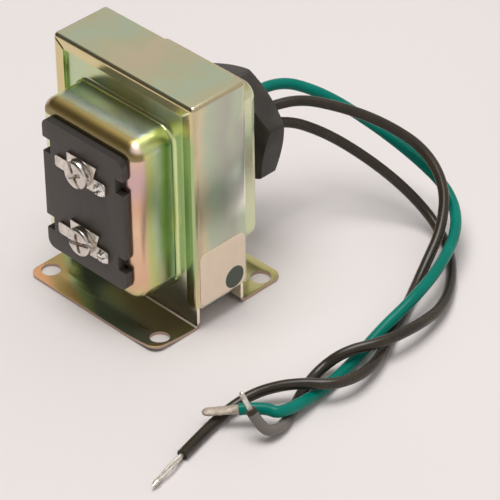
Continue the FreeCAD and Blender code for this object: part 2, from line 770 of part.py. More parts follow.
def make_coil():
    """Wind the two windings and their wraps, from the bobbin outwards."""
    over_primary = "primary_build"
    over_layer_wrap = "(primary_build + wrap_build)"
    over_secondary = "(primary_build + wrap_build + secondary_build)"
    wrapped_corner = "(coil_corner + wrap_build)"
    make_coil_layer("primary_winding", "0", "primary_build", None, "coil_corner")
    make_coil_layer("layer_wrap", over_primary, "wrap_build", "coil_corner", wrapped_corner)
    make_coil_layer("secondary_winding", over_layer_wrap, "secondary_build", wrapped_corner, "coil_corner")
    make_coil_layer("outer_wrap", over_secondary, "wrap_build", "coil_corner", wrapped_corner)


def make_heat_fuse():
    """Make the one-shot cut-out that lies on the coil's rear face."""
    body = new_body("heat_fuse")
    half = "(fuse_length / 2)"
    end = "(fuse_length / 2 + fuse_pin_length)"
    profile = [
        (f"-{end}", "0"),
        (end, "0"),
        (end, "fuse_pin_radius"),
        (half, "fuse_pin_radius"),
        (half, "fuse_radius"),
        (f"-{half}", "fuse_radius"),
        (f"-{half}", "fuse_pin_radius"),
        (f"-{end}", "fuse_pin_radius"),
    ]
    revolve(body, "Revolution", new_sketch(body, "XZ", [profile]), "H_Axis")
    place(body, x=f"-{FUSE_ACROSS}", y=f"{COIL_FACE} + fuse_radius", z=f"{CORE_MIDDLE} - fuse_drop")


def make_label():
    """Cut the plain sticker on the right side panel."""
    body = new_body("blank_label")
    low = f"{BAND_EDGE} + label_lift"
    sticker = centred("(label_width / 2)", low, f"{low} + label_height")
    pad(body, new_sketch(body, "YZ", [sticker], "band_width / 2"), "label_gauge")
    fillet(body, "label_corner", lambda box: near(box.XLength, sizes.label_gauge))


def make_ground_bond():
    """Bend the lug that the ground lead ends on, and rivet it to the rear bell."""
    body = new_body("ground_lug")
    across = f"{GROUND_ROUTE[0][0]}"
    near_face = f"{COIL_FACE} + lug_gap"
    far_face = f"{near_face} + lug_gauge"
    foot = f"{GROUND_ROUTE[0][2]} - lug_foot_drop"
    step_top = f"{LUG_STEP} + lug_step_rise"
    strip = [
        (near_face, foot),
        (far_face, foot),
        (far_face, f"{LUG_STEP} - lug_gauge / 4"),
        (BELL_INSIDE, f"{step_top} - lug_gauge / 4"),
        (BELL_INSIDE, LUG_TOP),
        (f"{BELL_INSIDE} - lug_gauge", LUG_TOP),
        (f"{BELL_INSIDE} - lug_gauge", f"{step_top} + lug_gauge / 4"),
        (near_face, f"{LUG_STEP} + lug_gauge / 4"),
    ]
    pad(body, new_sketch(body, "YZ", [strip], across), "lug_width", both=True)
    hole = Disc(across, RIVET_HEIGHT, f"{RIVET_RADIUS} + fit_clearance")
    pocket(body, new_sketch(body, "XZ", [hole], f"-{BELL_INSIDE}"), "2 * lug_gauge", back=True)

    rivet = new_body("ground_rivet")
    inner = f"{BELL_INSIDE} - lug_gauge"
    tail = f"{inner} - rivet_tail_height"
    head = f"{BELL_FACE} + rivet_head_height"
    profile = [
        (tail, "0"),
        (head, "0"),
        (head, f"{RIVET_HEAD} / 2"),
        (BELL_FACE, RIVET_HEAD),
        (BELL_FACE, RIVET_RADIUS),
        (inner, RIVET_RADIUS),
        (inner, RIVET_TAIL),
        (tail, RIVET_TAIL),
    ]
    revolve(rivet, "Revolution", new_sketch(rivet, "YZ", [profile]), "H_Axis")
    place(rivet, x=across, z=RIVET_HEIGHT)


def route_wire(label, points):
    """Join straight runs by tangent arcs that are as large as the runs allow."""
    edges = []
    radii = []
    start = points[0]
    for before, corner, after in zip(points, points[1:], points[2:]):
        back = before - corner
        ahead = after - corner
        reach = ARC_SHARE * min(back.Length, ahead.Length)
        turn = math.pi - back.getAngle(ahead)
        radius = reach / math.tan(turn / 2)
        radii.append(radius)
        back.normalize()
        ahead.normalize()
        inward = back + ahead
        inward.normalize()
        middle = corner + inward * (radius / math.cos(turn / 2) - radius)
        arc_start = corner + back * reach
        arc_end = corner + ahead * reach
        edges.append(Part.LineSegment(start, arc_start).toShape())
        edges.append(Part.Arc(arc_start, middle, arc_end).toShape())
        start = arc_end
    edges.append(Part.LineSegment(start, points[-1]).toShape())
    wire = Part.Wire(edges)
    print(label, "length", round(wire.Length, 1), "radii", [round(radius, 1) for radius in radii])
    return wire


def make_lead(name, route, start, radius, strip, strand_radius):
    """Sweep a lead along its route, then add the bare strands at its end."""
    points = [Vector(*point) for point in route]
    points[0].y = start
    wire = route_wire(name, points)
    along = points[1] - points[0]
    section = Part.Wire([Part.Circle(points[0], along, radius).toShape()])
    lead = doc.addObject("Part::Feature", name)
    lead.Label = name
    lead.Shape = wire.makePipeShell([section], True, False)
    pieces.append(lead)
    share = lead.Shape.Volume / (math.pi * radius**2 * wire.Length)
    print(name, "volume over section times length", round(share, 3))

    end = doc.addObject("Part::Cylinder", f"{name}_end")
    end.Label = f"{name}_end"
    end.setExpression("Radius", cells(strand_radius))
    end.setExpression("Height", cells(strip))
    direction = points[-1] - points[-2]
    end.Placement = Placement(points[-1], Rotation(Vector(0, 0, 1), direction))
    pieces.append(end)


def make_leads():
    """Run the three leads out through the hub."""
    coil_face = doc.getObject("outer_wrap").Shape.BoundBox.YMax
    lug_face = coil_face + sizes.lug_gap + sizes.lug_gauge
    ground = ("ground_strip", "ground_strand_radius")
    make_lead("ground_lead", GROUND_ROUTE, lug_face, sizes.ground_radius, *ground)
    make_lead("line_lead", LINE_ROUTE, coil_face, sizes.lead_radius, "line_strip", "strand_radius")
    make_lead("neutral_lead", NEUTRAL_ROUTE, coil_face, sizes.lead_radius, "neutral_strip", "strand_radius")


def check_document():
    """Stop if any object failed or any sub-part has no sound shape."""
    for item in doc.Objects:
        if "Invalid" in item.State or "Error" in item.State:
            raise RuntimeError(f"{item.Label} failed to recompute")
    for piece in pieces:
        if piece.Shape.isNull() or not piece.Shape.isValid():
            raise RuntimeError(f"{piece.Label} has no valid shape")


def write_parts():
    """Write each sub-part to its own file."""
    os.makedirs("parts", exist_ok=True)
    for piece in pieces:
        piece.Shape.exportStep(f"parts/{piece.Label}.step")
        print(piece.Label, "solids", len(piece.Shape.Solids), "volume", round(piece.Shape.Volume, 1))


make_front_cover()
make_rear_cover()
make_case_band()
make_terminal_board()
make_terminals()
make_conduit_hub()
make_conduit_nut()
make_core()
make_bobbin()
make_coil()
make_heat_fuse()
make_label()
make_ground_bond()
doc.recompute()
make_leads()
doc.recompute()
check_document()
write_parts()
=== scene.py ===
"""Looks of a doorbell transformer: finishes, leads, bare strands, fasteners and studio."""
import logging
import math
from dataclasses import dataclass, field
from enum import Enum
from typing import Any, ClassVar, Sequence

import bmesh
import bpy
from mathutils import Matrix, Vector, noise


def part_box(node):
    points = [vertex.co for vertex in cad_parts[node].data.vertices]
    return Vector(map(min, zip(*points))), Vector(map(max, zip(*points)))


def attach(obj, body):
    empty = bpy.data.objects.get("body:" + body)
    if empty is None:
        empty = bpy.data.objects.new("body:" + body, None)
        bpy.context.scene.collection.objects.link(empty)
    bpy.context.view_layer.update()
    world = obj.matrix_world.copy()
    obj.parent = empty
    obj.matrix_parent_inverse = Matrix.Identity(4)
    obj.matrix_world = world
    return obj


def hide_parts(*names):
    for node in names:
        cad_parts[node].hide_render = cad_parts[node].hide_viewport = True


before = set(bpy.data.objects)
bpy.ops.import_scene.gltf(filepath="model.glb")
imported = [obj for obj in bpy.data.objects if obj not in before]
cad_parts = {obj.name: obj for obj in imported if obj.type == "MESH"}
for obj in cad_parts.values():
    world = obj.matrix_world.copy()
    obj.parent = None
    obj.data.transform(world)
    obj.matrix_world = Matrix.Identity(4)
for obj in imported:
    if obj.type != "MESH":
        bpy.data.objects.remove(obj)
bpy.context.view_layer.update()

MM = 0.001
HALF = 0.5
ROOT = "root"
TO_FRONT = Matrix(((1, 0, 0), (0, 0, -1), (0, 1, 0))).to_4x4()
TO_REAR = Matrix(((-1, 0, 0), (0, 0, 1), (0, 1, 0))).to_4x4()

Colour = tuple[float, float, float]
Point = tuple[float, float, float]
Span = tuple[float, float]
Loop = list[Vector]

log = logging.getLogger("doorbell_transformer")


class Film(Enum):
    """Colours that the film of zinc plating takes with its thickness and wear, with painted highlights in the
    rose and the bare colour.
    """

    TAN = (0.58, 0.50, 0.32)
    SAND = (0.65, 0.62, 0.40)
    BLUSH = (0.72, 0.62, 0.42)
    STRAW = (0.78, 0.77, 0.54)
    GOLD = (0.33, 0.245, 0.085)
    WHEAT = (0.74, 0.63, 0.35)
    PINK = (0.80, 0.50, 0.34)
    PEACH = (0.88, 0.62, 0.42)
    LILAC = (0.70, 0.48, 0.48)
    MAUVE = (0.48, 0.48, 0.41)
    ORANGE = (0.80, 0.44, 0.22)
    AMBER = (0.55, 0.40, 0.15)
    RUST = (0.46, 0.33, 0.26)
    ROSE_HIGHLIGHT = (0.95, 0.76, 0.62)
    BRONZE = (0.30, 0.25, 0.12)
    BRASS = (0.74, 0.63, 0.22)
    YELLOW = (0.68, 0.62, 0.28)
    LEMON = (0.94, 1.0, 0.62)
    LIME = (0.56, 0.64, 0.25)
    GREEN = (0.34, 0.47, 0.21)
    FERN = (0.46, 0.63, 0.29)
    TEAL = (0.26, 0.42, 0.30)
    GREY = (0.52, 0.59, 0.44)
    MINT = (0.56, 0.66, 0.44)
    SKY = (0.57, 0.66, 0.47)
    PALE = (0.53, 0.62, 0.49)
    SPROUT = (0.70, 0.82, 0.38)
    # Painted highlight: near-white rose laid where the front bell's corners catch the overhead light
    CITRUS = (0.72, 0.80, 0.34)
    MOSS = (0.83, 0.99, 0.90)
    FROST = (1.0, 1.0, 0.88)
    OLIVE = (0.18, 0.25, 0.20)
    UMBER = (0.18, 0.19, 0.155)
    CREAM = (1.0, 0.92, 0.74)
    SAGE = (0.64, 0.72, 0.46)
    # Bare metal with a painted highlight, for the line along the front foot's bend
    BARE_GLINT = (0.96, 0.90, 0.82)


@dataclass(frozen=True)
class Grain:
    """Soft noise over a surface, and how far it roughens the surface and stands out from it."""

    scale: float
    detail: float = 2.0
    layering: float = 0.5
    warp: float = 0.0
    stretch: Point | None = None
    roughens: float = 0.0
    stands: float = 0.0


class Sock:
    """An output socket of a material, with arithmetic that adds Math nodes."""

    def __init__(self, shader: "Shader", socket: bpy.types.NodeSocket) -> None:
        """Keep the socket and the material that it belongs to."""
        self.shader = shader
        self.socket = socket

    def math(self, operation: str, first: Any, second: Any = 0.0) -> "Sock":
        """Add a Math node.

        Args:
            operation: The node's operation.
            first: A socket or number.
            second: A socket or number.

        Returns:
            The node's value.
        """
        return self.shader.read(0, "ShaderNodeMath", {"operation": operation}, {0: first, 1: second})

    def __add__(self, other: Any) -> "Sock":
        """Sum."""
        return self.math("ADD", self, other)

    def __radd__(self, other: Any) -> "Sock":
        """Sum, from the right."""
        return self.math("ADD", other, self)

    def __sub__(self, other: Any) -> "Sock":
        """Difference."""
        return self.math("SUBTRACT", self, other)

    def __rsub__(self, other: Any) -> "Sock":
        """Difference, from the right."""
        return self.math("SUBTRACT", other, self)

    def __mul__(self, other: Any) -> "Sock":
        """Product."""
        return self.math("MULTIPLY", self, other)

    def __rmul__(self, other: Any) -> "Sock":
        """Product, from the right."""
        return self.math("MULTIPLY", other, self)

    def __truediv__(self, other: Any) -> "Sock":
        """Quotient."""
        return self.math("DIVIDE", self, other)

    def __rtruediv__(self, other: Any) -> "Sock":
        """Quotient, from the right."""
        return self.math("DIVIDE", other, self)

    def __neg__(self) -> "Sock":
        """Opposite value."""
        return self.math("MULTIPLY", self, -1.0)

    def size(self) -> "Sock":
        """Value without its sign."""
        return self.math("ABSOLUTE", self)

    def stripes(self, per_metre: float) -> "Sock":
        """Even waves from 0 to 1 along a value in metres."""
        return self.math("SINE", self * (math.tau * per_metre)) * HALF + HALF

    def step(self, low: float, high: float) -> "Sock":
        """Rise smoothly from 0 at low to 1 at high.

        Args:
            low: Value where the mask is 0.
            high: Value where the mask is 1, which may be the lower of the two.

        Returns:
            A mask from 0 to 1.
        """
        settings = {"interpolation_type": "SMOOTHSTEP", "clamp": True}
        return self.shader.read(0, "ShaderNodeMapRange", settings, {0: self, 1: low, 2: high})

    def within(self, start: Span, stop: Span) -> "Sock":
        """Mask of what lies past one step and short of another."""
        return self.step(*start) * self.step(*stop)


class Shader:
    """A node tree, of a material or of the world, that is built from expressions."""

    def __init__(self, owner: bpy.types.Material | bpy.types.World) -> None:
        """Start with an empty tree.

        Args:
            owner: The material or world that the nodes belong to.
        """
        self.owner = owner
        self.owner.use_nodes = True
        self.tree = owner.node_tree
        self.tree.nodes.clear()

    def node(
        self,
        kind: str,
        settings: dict[str, Any] | None = None,
        inputs: dict[Any, Any] | None = None,
    ) -> bpy.types.Node:
        """Add a node.

        Args:
            kind: The node's type.
            settings: Properties, or the stops of a ramp, which are set first.
            inputs: Values or sockets by input name or number.

        Returns:
            The new node.
        """
        made = self.tree.nodes.new(kind)
        for key, value in (settings or {}).items():
            if key == "stops":
                self.set_stops(made.color_ramp, value)
            else:
                setattr(made, key, value)
        for key, value in (inputs or {}).items():
            if isinstance(value, Sock):
                self.tree.links.new(value.socket, made.inputs[key])
            else:
                made.inputs[key].default_value = value
        return made

    def read(self, output: Any, kind: str, *details: dict[Any, Any] | None) -> Sock:
        """Add a node and take one of its outputs.

        Args:
            output: The output's name or number.
            kind: The node's type.
            *details: Its settings, then its inputs.

        Returns:
            The output.
        """
        return Sock(self, self.node(kind, *details).outputs[output])

    @staticmethod
    def rgba(colour: Any) -> Any:
        """Give a colour its alpha, and leave a socket as it is.

        Args:
            colour: A colour, a colour of the film, or a socket.

        Returns:
            What a colour input takes.
        """
        if isinstance(colour, Sock):
            return colour
        return (*(colour.value if isinstance(colour, Film) else colour), 1.0)

    @staticmethod
    def set_stops(ramp: bpy.types.ColorRamp, stops: Sequence[tuple[float, Film]]) -> None:
        """Put the stops of a colour ramp in place.

        Args:
            ramp: The ramp to fill.
            stops: Places and colours, from 0 to 1.
        """
        while len(ramp.elements) < len(stops):
            ramp.elements.new(HALF)
        for element, (place, colour) in zip(ramp.elements, stops):
            element.position = place
            element.color = Shader.rgba(colour)

    def place(self) -> Sock:
        """Position in the object's own frame, in metres."""
        return self.read("Object", "ShaderNodeTexCoord")

    def direction(self) -> Sock:
        """Direction in which the world is seen."""
        return self.read("Generated", "ShaderNodeTexCoord")

    def facing(self) -> Sock:
        """Direction that the surface faces."""
        return self.read("Normal", "ShaderNodeNewGeometry")

    def along(self, vector: Sock, axis: Point) -> Sock:
        """How far a vector runs along an axis."""
        inputs = {0: vector, 1: axis}
        return self.read("Value", "ShaderNodeVectorMath", {"operation": "DOT_PRODUCT"}, inputs)

    def stretched(self, vector: Sock, factors: Point) -> Sock:
        """Scale a vector along each axis."""
        inputs = {0: vector, 1: factors}
        return self.read(0, "ShaderNodeVectorMath", {"operation": "MULTIPLY"}, inputs)

    def millimetres(self, place: Sock) -> Sock:
        """Turn a place in metres into millimetres."""
        return self.stretched(place, (1 / MM, 1 / MM, 1 / MM))

    def split(self, vector: Sock) -> list[Sock]:
        """Take a vector apart into its three numbers."""
        made = self.node("ShaderNodeSeparateXYZ", inputs={0: vector})
        return [Sock(self, output) for output in made.outputs]

    def cloud(self, place: Sock, grain: Grain) -> Sock:
        """Soft noise from 0 to 1.

        Args:
            place: Where to read it.
            grain: What the noise is like.

        Returns:
            The noise value.
        """
        inputs = {
            "Vector": self.stretched(place, grain.stretch) if grain.stretch else place,
            "Scale": grain.scale,
            "Detail": grain.detail,
            "Roughness": grain.layering,
            "Distortion": grain.warp,
        }
        return self.read(0, "ShaderNodeTexNoise", None, inputs)

    def ramp(self, value: Sock, stops: Sequence[tuple[float, Film]]) -> Sock:
        """Turn a value from 0 to 1 into a colour."""
        return self.read(0, "ShaderNodeValToRGB", {"stops": stops}, {0: value})

    def mix(self, share: Any, first: Any, second: Any) -> Sock:
        """Blend two colours.

        Args:
            share: 0 for the first, 1 for the second.
            first: A colour or socket.
            second: A colour or socket.

        Returns:
            The blended colour.
        """
        inputs = {0: share, 6: self.rgba(first), 7: self.rgba(second)}
        return self.read(2, "ShaderNodeMix", {"data_type": "RGBA"}, inputs)

    def layered(self, colour: Any, *layers: tuple[Sock, Any]) -> Sock:
        """Lay colours over one another.

        Args:
            colour: The lowest colour.
            *layers: The mask and the colour of each layer above it.

        Returns:
            The colour that shows.
        """
        for mask, cover in layers:
            colour = self.mix(mask, colour, cover)
        return colour

    def bump(self, height: Sock, depth: float, strength: float) -> Sock:
        """Relief from a height.

        Args:
            height: From 0 to 1.
            depth: Height of the relief in metres.
            strength: Share of the relief that is used.

        Returns:
            The bent normal.
        """
        inputs = {"Height": height, "Distance": depth, "Strength": strength}
        return self.read(0, "ShaderNodeBump", None, inputs)

    def surface(self, colour: Sock, **inputs: Any) -> bpy.types.Material:
        """End the material with one principled surface.

        Args:
            colour: Its base colour.
            **inputs: Other values or sockets, with underscores for the spaces in their names.

        Returns:
            The finished material.
        """
        named = {key.replace("_", " "): value for key, value in inputs.items()}
        shading = self.read(0, "ShaderNodeBsdfPrincipled", None, {"Base Color": colour, **named})
        self.node("ShaderNodeOutputMaterial", inputs={0: shading})
        return self.owner

    def sky(self, colour: Sock, strength: float) -> bpy.types.World:
        """End the world with one background.

        Args:
            colour: Its colour by direction.
            strength: Its brightness.

        Returns:
            The finished world.
        """
        shading = self.read(0, "ShaderNodeBackground", None, {"Color": colour, "Strength": strength})
        self.node("ShaderNodeOutputWorld", inputs={0: shading})
        return self.owner


class Finish:
    """A surface finish: its slot in the record and how its material is made."""

    slot: ClassVar[str]

    def make(self, shader: Shader, place: Sock) -> bpy.types.Material:
        """Build the material.

        Args:
            shader: The new material.
            place: Position on the piece, in metres.

        Returns:
            The finished material.
        """
        raise NotImplementedError

    def material(self) -> bpy.types.Material:
        """Give the material, built on first use.

        Returns:
            The material that all pieces of this finish share.
        """
        name = f"{self.slot}_{type(self).__name__}"
        known = bpy.data.materials.get(name)
        if known:
            return known
        shader = Shader(bpy.data.materials.new(name))
        return self.make(shader, shader.place())

    def dress(self, piece: bpy.types.Object) -> None:
        """Put the finish on a piece.

        Args:
            piece: A mesh or curve object.
        """
        piece.data.materials.clear()
        piece.data.materials.append(self.material())


class PlatePoint:
    """A point of the plating: its place in millimetres, how it faces and how its film varies."""

    def __init__(self, shader: Shader, place: Sock, plate: "ZincPlate") -> None:
        """Read the place, the facing and the noises.

        Args:
            shader: The material.
            place: Position, in metres.
            plate: The plating, which names the noises.
        """
        self.shader = shader
        self.across, self.deep, self.high = shader.split(shader.millimetres(place))
        turn, _, self.rise = shader.split(shader.facing())
        self.turn = turn.size()
        self.wide = self.across.size()
        self.out = self.deep.size()
        self.slow = shader.cloud(place, plate.slow)
        self.blotch = shader.cloud(place, plate.blotch)
        self.fine = shader.cloud(place, plate.fine)
        self.wander = (self.slow - HALF) * plate.slow_wander + (self.blotch - HALF) * plate.blotch_wander
        self.up = self.rise.step(*plate.squarely)
        self.sideways = self.turn.step(*plate.squarely)
        self.rear = self.deep.step(*plate.past_middle)
        self.front = (-self.deep).step(*plate.past_middle)


@dataclass(frozen=True)
class FilmRun:
    """How the film's colour runs from one place to another, and how far it wanders."""

    start: float
    length: float
    wander: float
    stops: Sequence[tuple[float, Film]]

    def colour(self, at: PlatePoint, place: Sock) -> Sock:
        """Colour of the film at a place along the run."""
        return at.shader.ramp((place - self.start) / self.length + at.wander * self.wander, self.stops)


@dataclass(frozen=True)
class ZincPlate(Finish):
    """Yellow-iridescent zinc plating, whose film changes colour with its thickness.

    Places are in millimetres. Each span gives where a mask is 0 and where it is 1.
    """

    slot: ClassVar[str] = "plated_steel"

    # Noises
    slow: Grain = Grain(48.0, stands=0.8)
    blotch: Grain = Grain(115.0, 3.0, 0.55, 0.4, roughens=0.10)
    fine: Grain = Grain(900.0, 3.0, 0.6, roughens=0.05, stands=0.2)
    slow_wander: float = 0.55
    blotch_wander: float = 0.25

    # Facings
    squarely: Span = (0.5, 0.85)
    turned: Span = (0.12, 0.35)
    past_middle: Span = (0.0, 1.0)

    # Flange, leg and folded lips
    flange: FilmRun = FilmRun(-24.0, 48.0, 1.0, (
        (0.0, Film.MINT), (0.22, Film.MINT), (0.42, Film.YELLOW),
        (0.66, Film.YELLOW), (0.82, Film.LEMON), (1.0, Film.LEMON),
    ))
    leg_high: Span = (20.0, 8.0)
    lip_out: Span = (8.3, 8.7)
    fern_high: tuple[Span, Span] = ((11.0, 20.0), (62.0, 55.0))
    fern_across: Span = (0.0, 10.0)
    root_turn: Span = (0.10, 0.35)
    root_high: Span = (9.0, 12.0)
    root_wide: Span = (24.0, 23.0)

    # Walls, tops and shoulders of the bells
    wall: FilmRun = FilmRun(8.5, 9.5, 1.0, (
        (0.0, Film.LIME), (0.10, Film.TEAL), (0.34, Film.GREEN),
        (0.56, Film.PALE), (0.80, Film.LIME), (1.0, Film.YELLOW),
    ))
    rear_wall: FilmRun = FilmRun(-0.5, 1.0, 1.0, ((0.3, Film.SAGE), (0.6, Film.STRAW), (0.9, Film.TAN)))
    bell_top: FilmRun = FilmRun(8.5, 11.0, 0.6, (
        (0.0, Film.LIME), (0.25, Film.MOSS), (0.6, Film.MOSS), (0.85, Film.YELLOW), (1.0, Film.TAN),
    ))
    shoulder_rise: Span = (0.25, 0.55)
    bell_facing: Span = (0.3, 0.9)
    bell_out: Span = (8.3, 9.1)
    bell_wide: Span = (19.0, 18.0)

    # Rounded rim of the front bell
    rim: FilmRun = FilmRun(12.0, 46.0, 0.7, (
        (0.0, Film.YELLOW), (0.16, Film.PINK), (0.42, Film.PEACH),
        (0.60, Film.PINK), (0.80, Film.LILAC), (1.0, Film.PEACH),
    ))
    rim_deep: Span = (-17.2, -18.8)
    rim_left: Span = (-12.0, -14.0)
    above_board: Span = (53.3, 53.8)
    rim_rise: Span = (0.15, 0.55)
    # Where the painted highlight goes on the rim's corners
    corner_rise: Span = (0.35, 0.60)
    corner_turn: Span = (0.20, 0.45)

    # Sides, top and folds of the wrapper
    side: FilmRun = FilmRun(-9.0, 18.0, 0.9, (
        (0.0, Film.TAN), (0.12, Film.BLUSH), (0.30, Film.GREY), (0.66, Film.MAUVE),
        (0.82, Film.GREY), (0.92, Film.GREY), (1.0, Film.STRAW),
    ))
    band_wide: Span = (24.2, 24.7)
    mauve_deep: Span = (1.0, 7.0)
    mauve_high: tuple[Span, Span] = ((42.0, 48.0), (62.0, 54.0))
    frost_deep: Span = (0.0, 7.0)
    frost_high: tuple[Span, Span] = ((27.0, 33.0), (46.0, 40.0))
    top: FilmRun = FilmRun(-25.0, 50.0, 1.3, (
        (0.05, Film.SAND), (0.20, Film.SKY), (0.34, Film.SAND), (0.52, Film.BLUSH),
        (0.66, Film.SAND), (0.80, Film.SKY), (0.96, Film.SAND),
    ))
    top_high: Span = (64.0, 66.5)
    fold_high: Span = (60.0, 62.0)

    # Feet
    foot: FilmRun = FilmRun(-56.3, 43.0, 0.3, (
        (0.02, Film.ORANGE), (0.12, Film.AMBER), (0.26, Film.AMBER), (0.36, Film.GREEN),
        (0.50, Film.OLIVE), (0.74, Film.OLIVE), (0.95, Film.UMBER),
    ))
    foot_slant: float = 1.74
    foot_high: Span = (2.0, 1.4)
    rear_foot_deep: Span = (8.0, 11.0)
    rear_foot_patch: Span = (0.4, 0.6)
    cut_edge: Span = (0.6, 0.3)

    # Wear and a painted highlight along the bend of the front foot, and gloss
    bend_deep: float = -8.55
    bend_high: float = 1.15
    bend_near: Span = (0.13, 0.04)
    wear_share: float = 0.6
    wear_patch: Span = (0.35, 0.60)
    smooth: float = 0.17
    worn_rough: float = 0.45
    rim_dull: Span = (0.05, 0.30)
    rim_rough: float = 0.22
    depth: float = 0.10 * MM
    relief: float = 0.30

    def flange_colour(self, at: PlatePoint) -> Sock:
        """Colour the flanges, their legs and the lips that are folded over them.

        Args:
            at: The point of the plating.

        Returns:
            The colour.
        """
        fern = at.high.within(*self.fern_high) * at.across.step(*self.fern_across)
        lip = at.shader.layered(Film.WHEAT, (fern, Film.FERN), (at.rear, Film.STRAW))
        root = at.turn.step(*self.root_turn) * at.high.step(*self.root_high) * at.wide.step(*self.root_wide)
        return at.shader.layered(
            self.flange.colour(at, at.across),
            (at.high.step(*self.leg_high), Film.CREAM),
            (at.out.step(*self.lip_out), lip),
            (root, Film.SPROUT),
        )

    def bell_colour(self, at: PlatePoint) -> Sock:
        """Colour the walls of both bells, their tops and the front one's shoulders.

        Args:
            at: The point of the plating.

        Returns:
            The colour.
        """
        shoulder = at.rise.step(*self.shoulder_rise) * at.turn.step(*self.turned) * at.front
        return at.shader.layered(
            self.wall.colour(at, at.out),
            (at.rear, self.rear_wall.colour(at, at.wander)),
            (at.up, self.bell_top.colour(at, at.out)),
            (shoulder, Film.CITRUS),
        )

    def rim_colour(self, at: PlatePoint) -> Sock:
        """Colour the rounded rim of the front bell, with a painted highlight at its corners.

        Args:
            at: The point of the plating.

        Returns:
            The colour.
        """
        corner = at.rise.step(*self.corner_rise) * at.turn.step(*self.corner_turn)
        return at.shader.layered(
            self.rim.colour(at, at.high),
            (at.across.step(*self.rim_left), Film.STRAW),
            (at.high.step(*self.above_board), Film.BRONZE),
            (at.rise.step(*self.rim_rise), Film.GOLD),
            # Painted highlight: near-white rose on the corners that face up and sideways
            (corner, Film.ROSE_HIGHLIGHT),
        )

    def side_colour(self, at: PlatePoint) -> Sock:
        """Colour the sides of the wrapper.

        Args:
            at: The point of the plating.

        Returns:
            The colour.
        """
        return at.shader.layered(
            self.side.colour(at, at.deep),
            (at.deep.step(*self.mauve_deep) * at.high.within(*self.mauve_high), Film.MAUVE),
            (at.deep.step(*self.frost_deep) * at.high.within(*self.frost_high), Film.FROST),
        )

    def foot_colour(self, at: PlatePoint) -> Sock:
        """Colour both feet and the cut edges of their sheet.

        Args:
            at: The point of the plating.

        Returns:
            The colour.
        """
        rear_foot = at.shader.mix(at.slow.step(*self.rear_foot_patch), Film.BRASS, Film.YELLOW)
        return at.shader.layered(
            self.foot.colour(at, at.across + at.deep * self.foot_slant),
            (at.deep.step(*self.rear_foot_deep), rear_foot),
            (at.rise.size().step(*self.cut_edge), Film.RUST),
        )

    def bend_wear_glint(self, at: PlatePoint) -> Sock:
        """Find where the bend of the front foot is rubbed bare and carries a painted highlight.

        Args:
            at: The point of the plating.

        Returns:
            A mask from 0 to 1.
        """
        past = at.deep - self.bend_deep
        above = at.high - self.bend_high
        patch = (at.blotch * self.wear_share + at.fine * self.wear_share).step(*self.wear_patch)
        return (past * past + above * above).step(*self.bend_near) * patch

    def make(self, shader: Shader, place: Sock) -> bpy.types.Material:
        """Build the material.

        Args:
            shader: The new material.
            place: Position on the piece, in metres.

        Returns:
            The finished material.
        """
        at = PlatePoint(shader, place, self)
        on_bell = (at.sideways + at.up).step(*self.bell_facing)
        on_bell = on_bell * at.out.step(*self.bell_out) * at.wide.step(*self.bell_wide)
        on_rim = at.deep.step(*self.rim_deep)
        fold = at.rise.step(*self.turned) * at.turn.step(*self.turned) * at.high.step(*self.fold_high)
        bend_wear_glint = self.bend_wear_glint(at)
        colour = shader.layered(
            self.flange_colour(at),
            (on_bell, self.bell_colour(at)),
            (on_rim, self.rim_colour(at)),
            (at.sideways * at.wide.step(*self.band_wide), self.side_colour(at)),
            (at.up * at.high.step(*self.top_high), self.top.colour(at, at.across)),
            (fold, Film.TAN),
            (at.high.step(*self.foot_high), self.foot_colour(at)),
            # Bright line along the foot's bend: wear and a painted highlight
            (bend_wear_glint, Film.BARE_GLINT),
        )
        rough = self.smooth + at.blotch * self.blotch.roughens + at.fine * self.fine.roughens
        rough = rough + bend_wear_glint * self.worn_rough + on_rim * at.rise.step(*self.rim_dull) * self.rim_rough
        height = at.slow * self.slow.stands + at.fine * self.fine.stands
        normal = shader.bump(height, self.depth, self.relief)
        return shader.surface(colour, Metallic=1.0, Roughness=rough, Normal=normal)


@dataclass(frozen=True)
class Phenolic(Finish):
    """Dark moulded board with a faint fibrous grain, duller on its upward edges, which carry painted shade.
    """

    slot: ClassVar[str] = "dark_board"
    dark: Colour = (0.045, 0.038, 0.032)
    light: Colour = (0.069, 0.059, 0.050)
    # Painted shade: darker colour for the upward-facing edges, which damps their lit band and highlight
    edge: Colour = (0.026, 0.022, 0.019)
    grain: Grain = Grain(700.0, 4.0, 0.6, stretch=(1.0, 1.0, 0.3), roughens=0.14)
    patch: Grain = Grain(90.0)
    grain_share: float = 0.6
    upward: Span = (0.10, 0.60)
    smooth: float = 0.42
    edge_rough: float = 0.35
    depth: float = 0.04 * MM
    relief: float = 0.5

    def make(self, shader: Shader, place: Sock) -> bpy.types.Material:
        """Build the material.

        Args:
            shader: The new material.
            place: Position on the piece, in metres.

        Returns:
            The finished material.
        """
        grain = shader.cloud(place, self.grain)
        patch = shader.cloud(place, self.patch)
        _, _, rise = shader.split(shader.facing())
        # Mask of upward-facing edges, which get painted shade and more roughness
        upward = rise.step(*self.upward)
        fibres = grain * self.grain_share + patch * (1.0 - self.grain_share)
        return shader.surface(
            shader.layered(self.dark, (fibres, self.light), (upward, self.edge)),
            Roughness=self.smooth + grain * self.grain.roughens + upward * self.edge_rough,
            Normal=shader.bump(grain, self.depth, self.relief),
        )


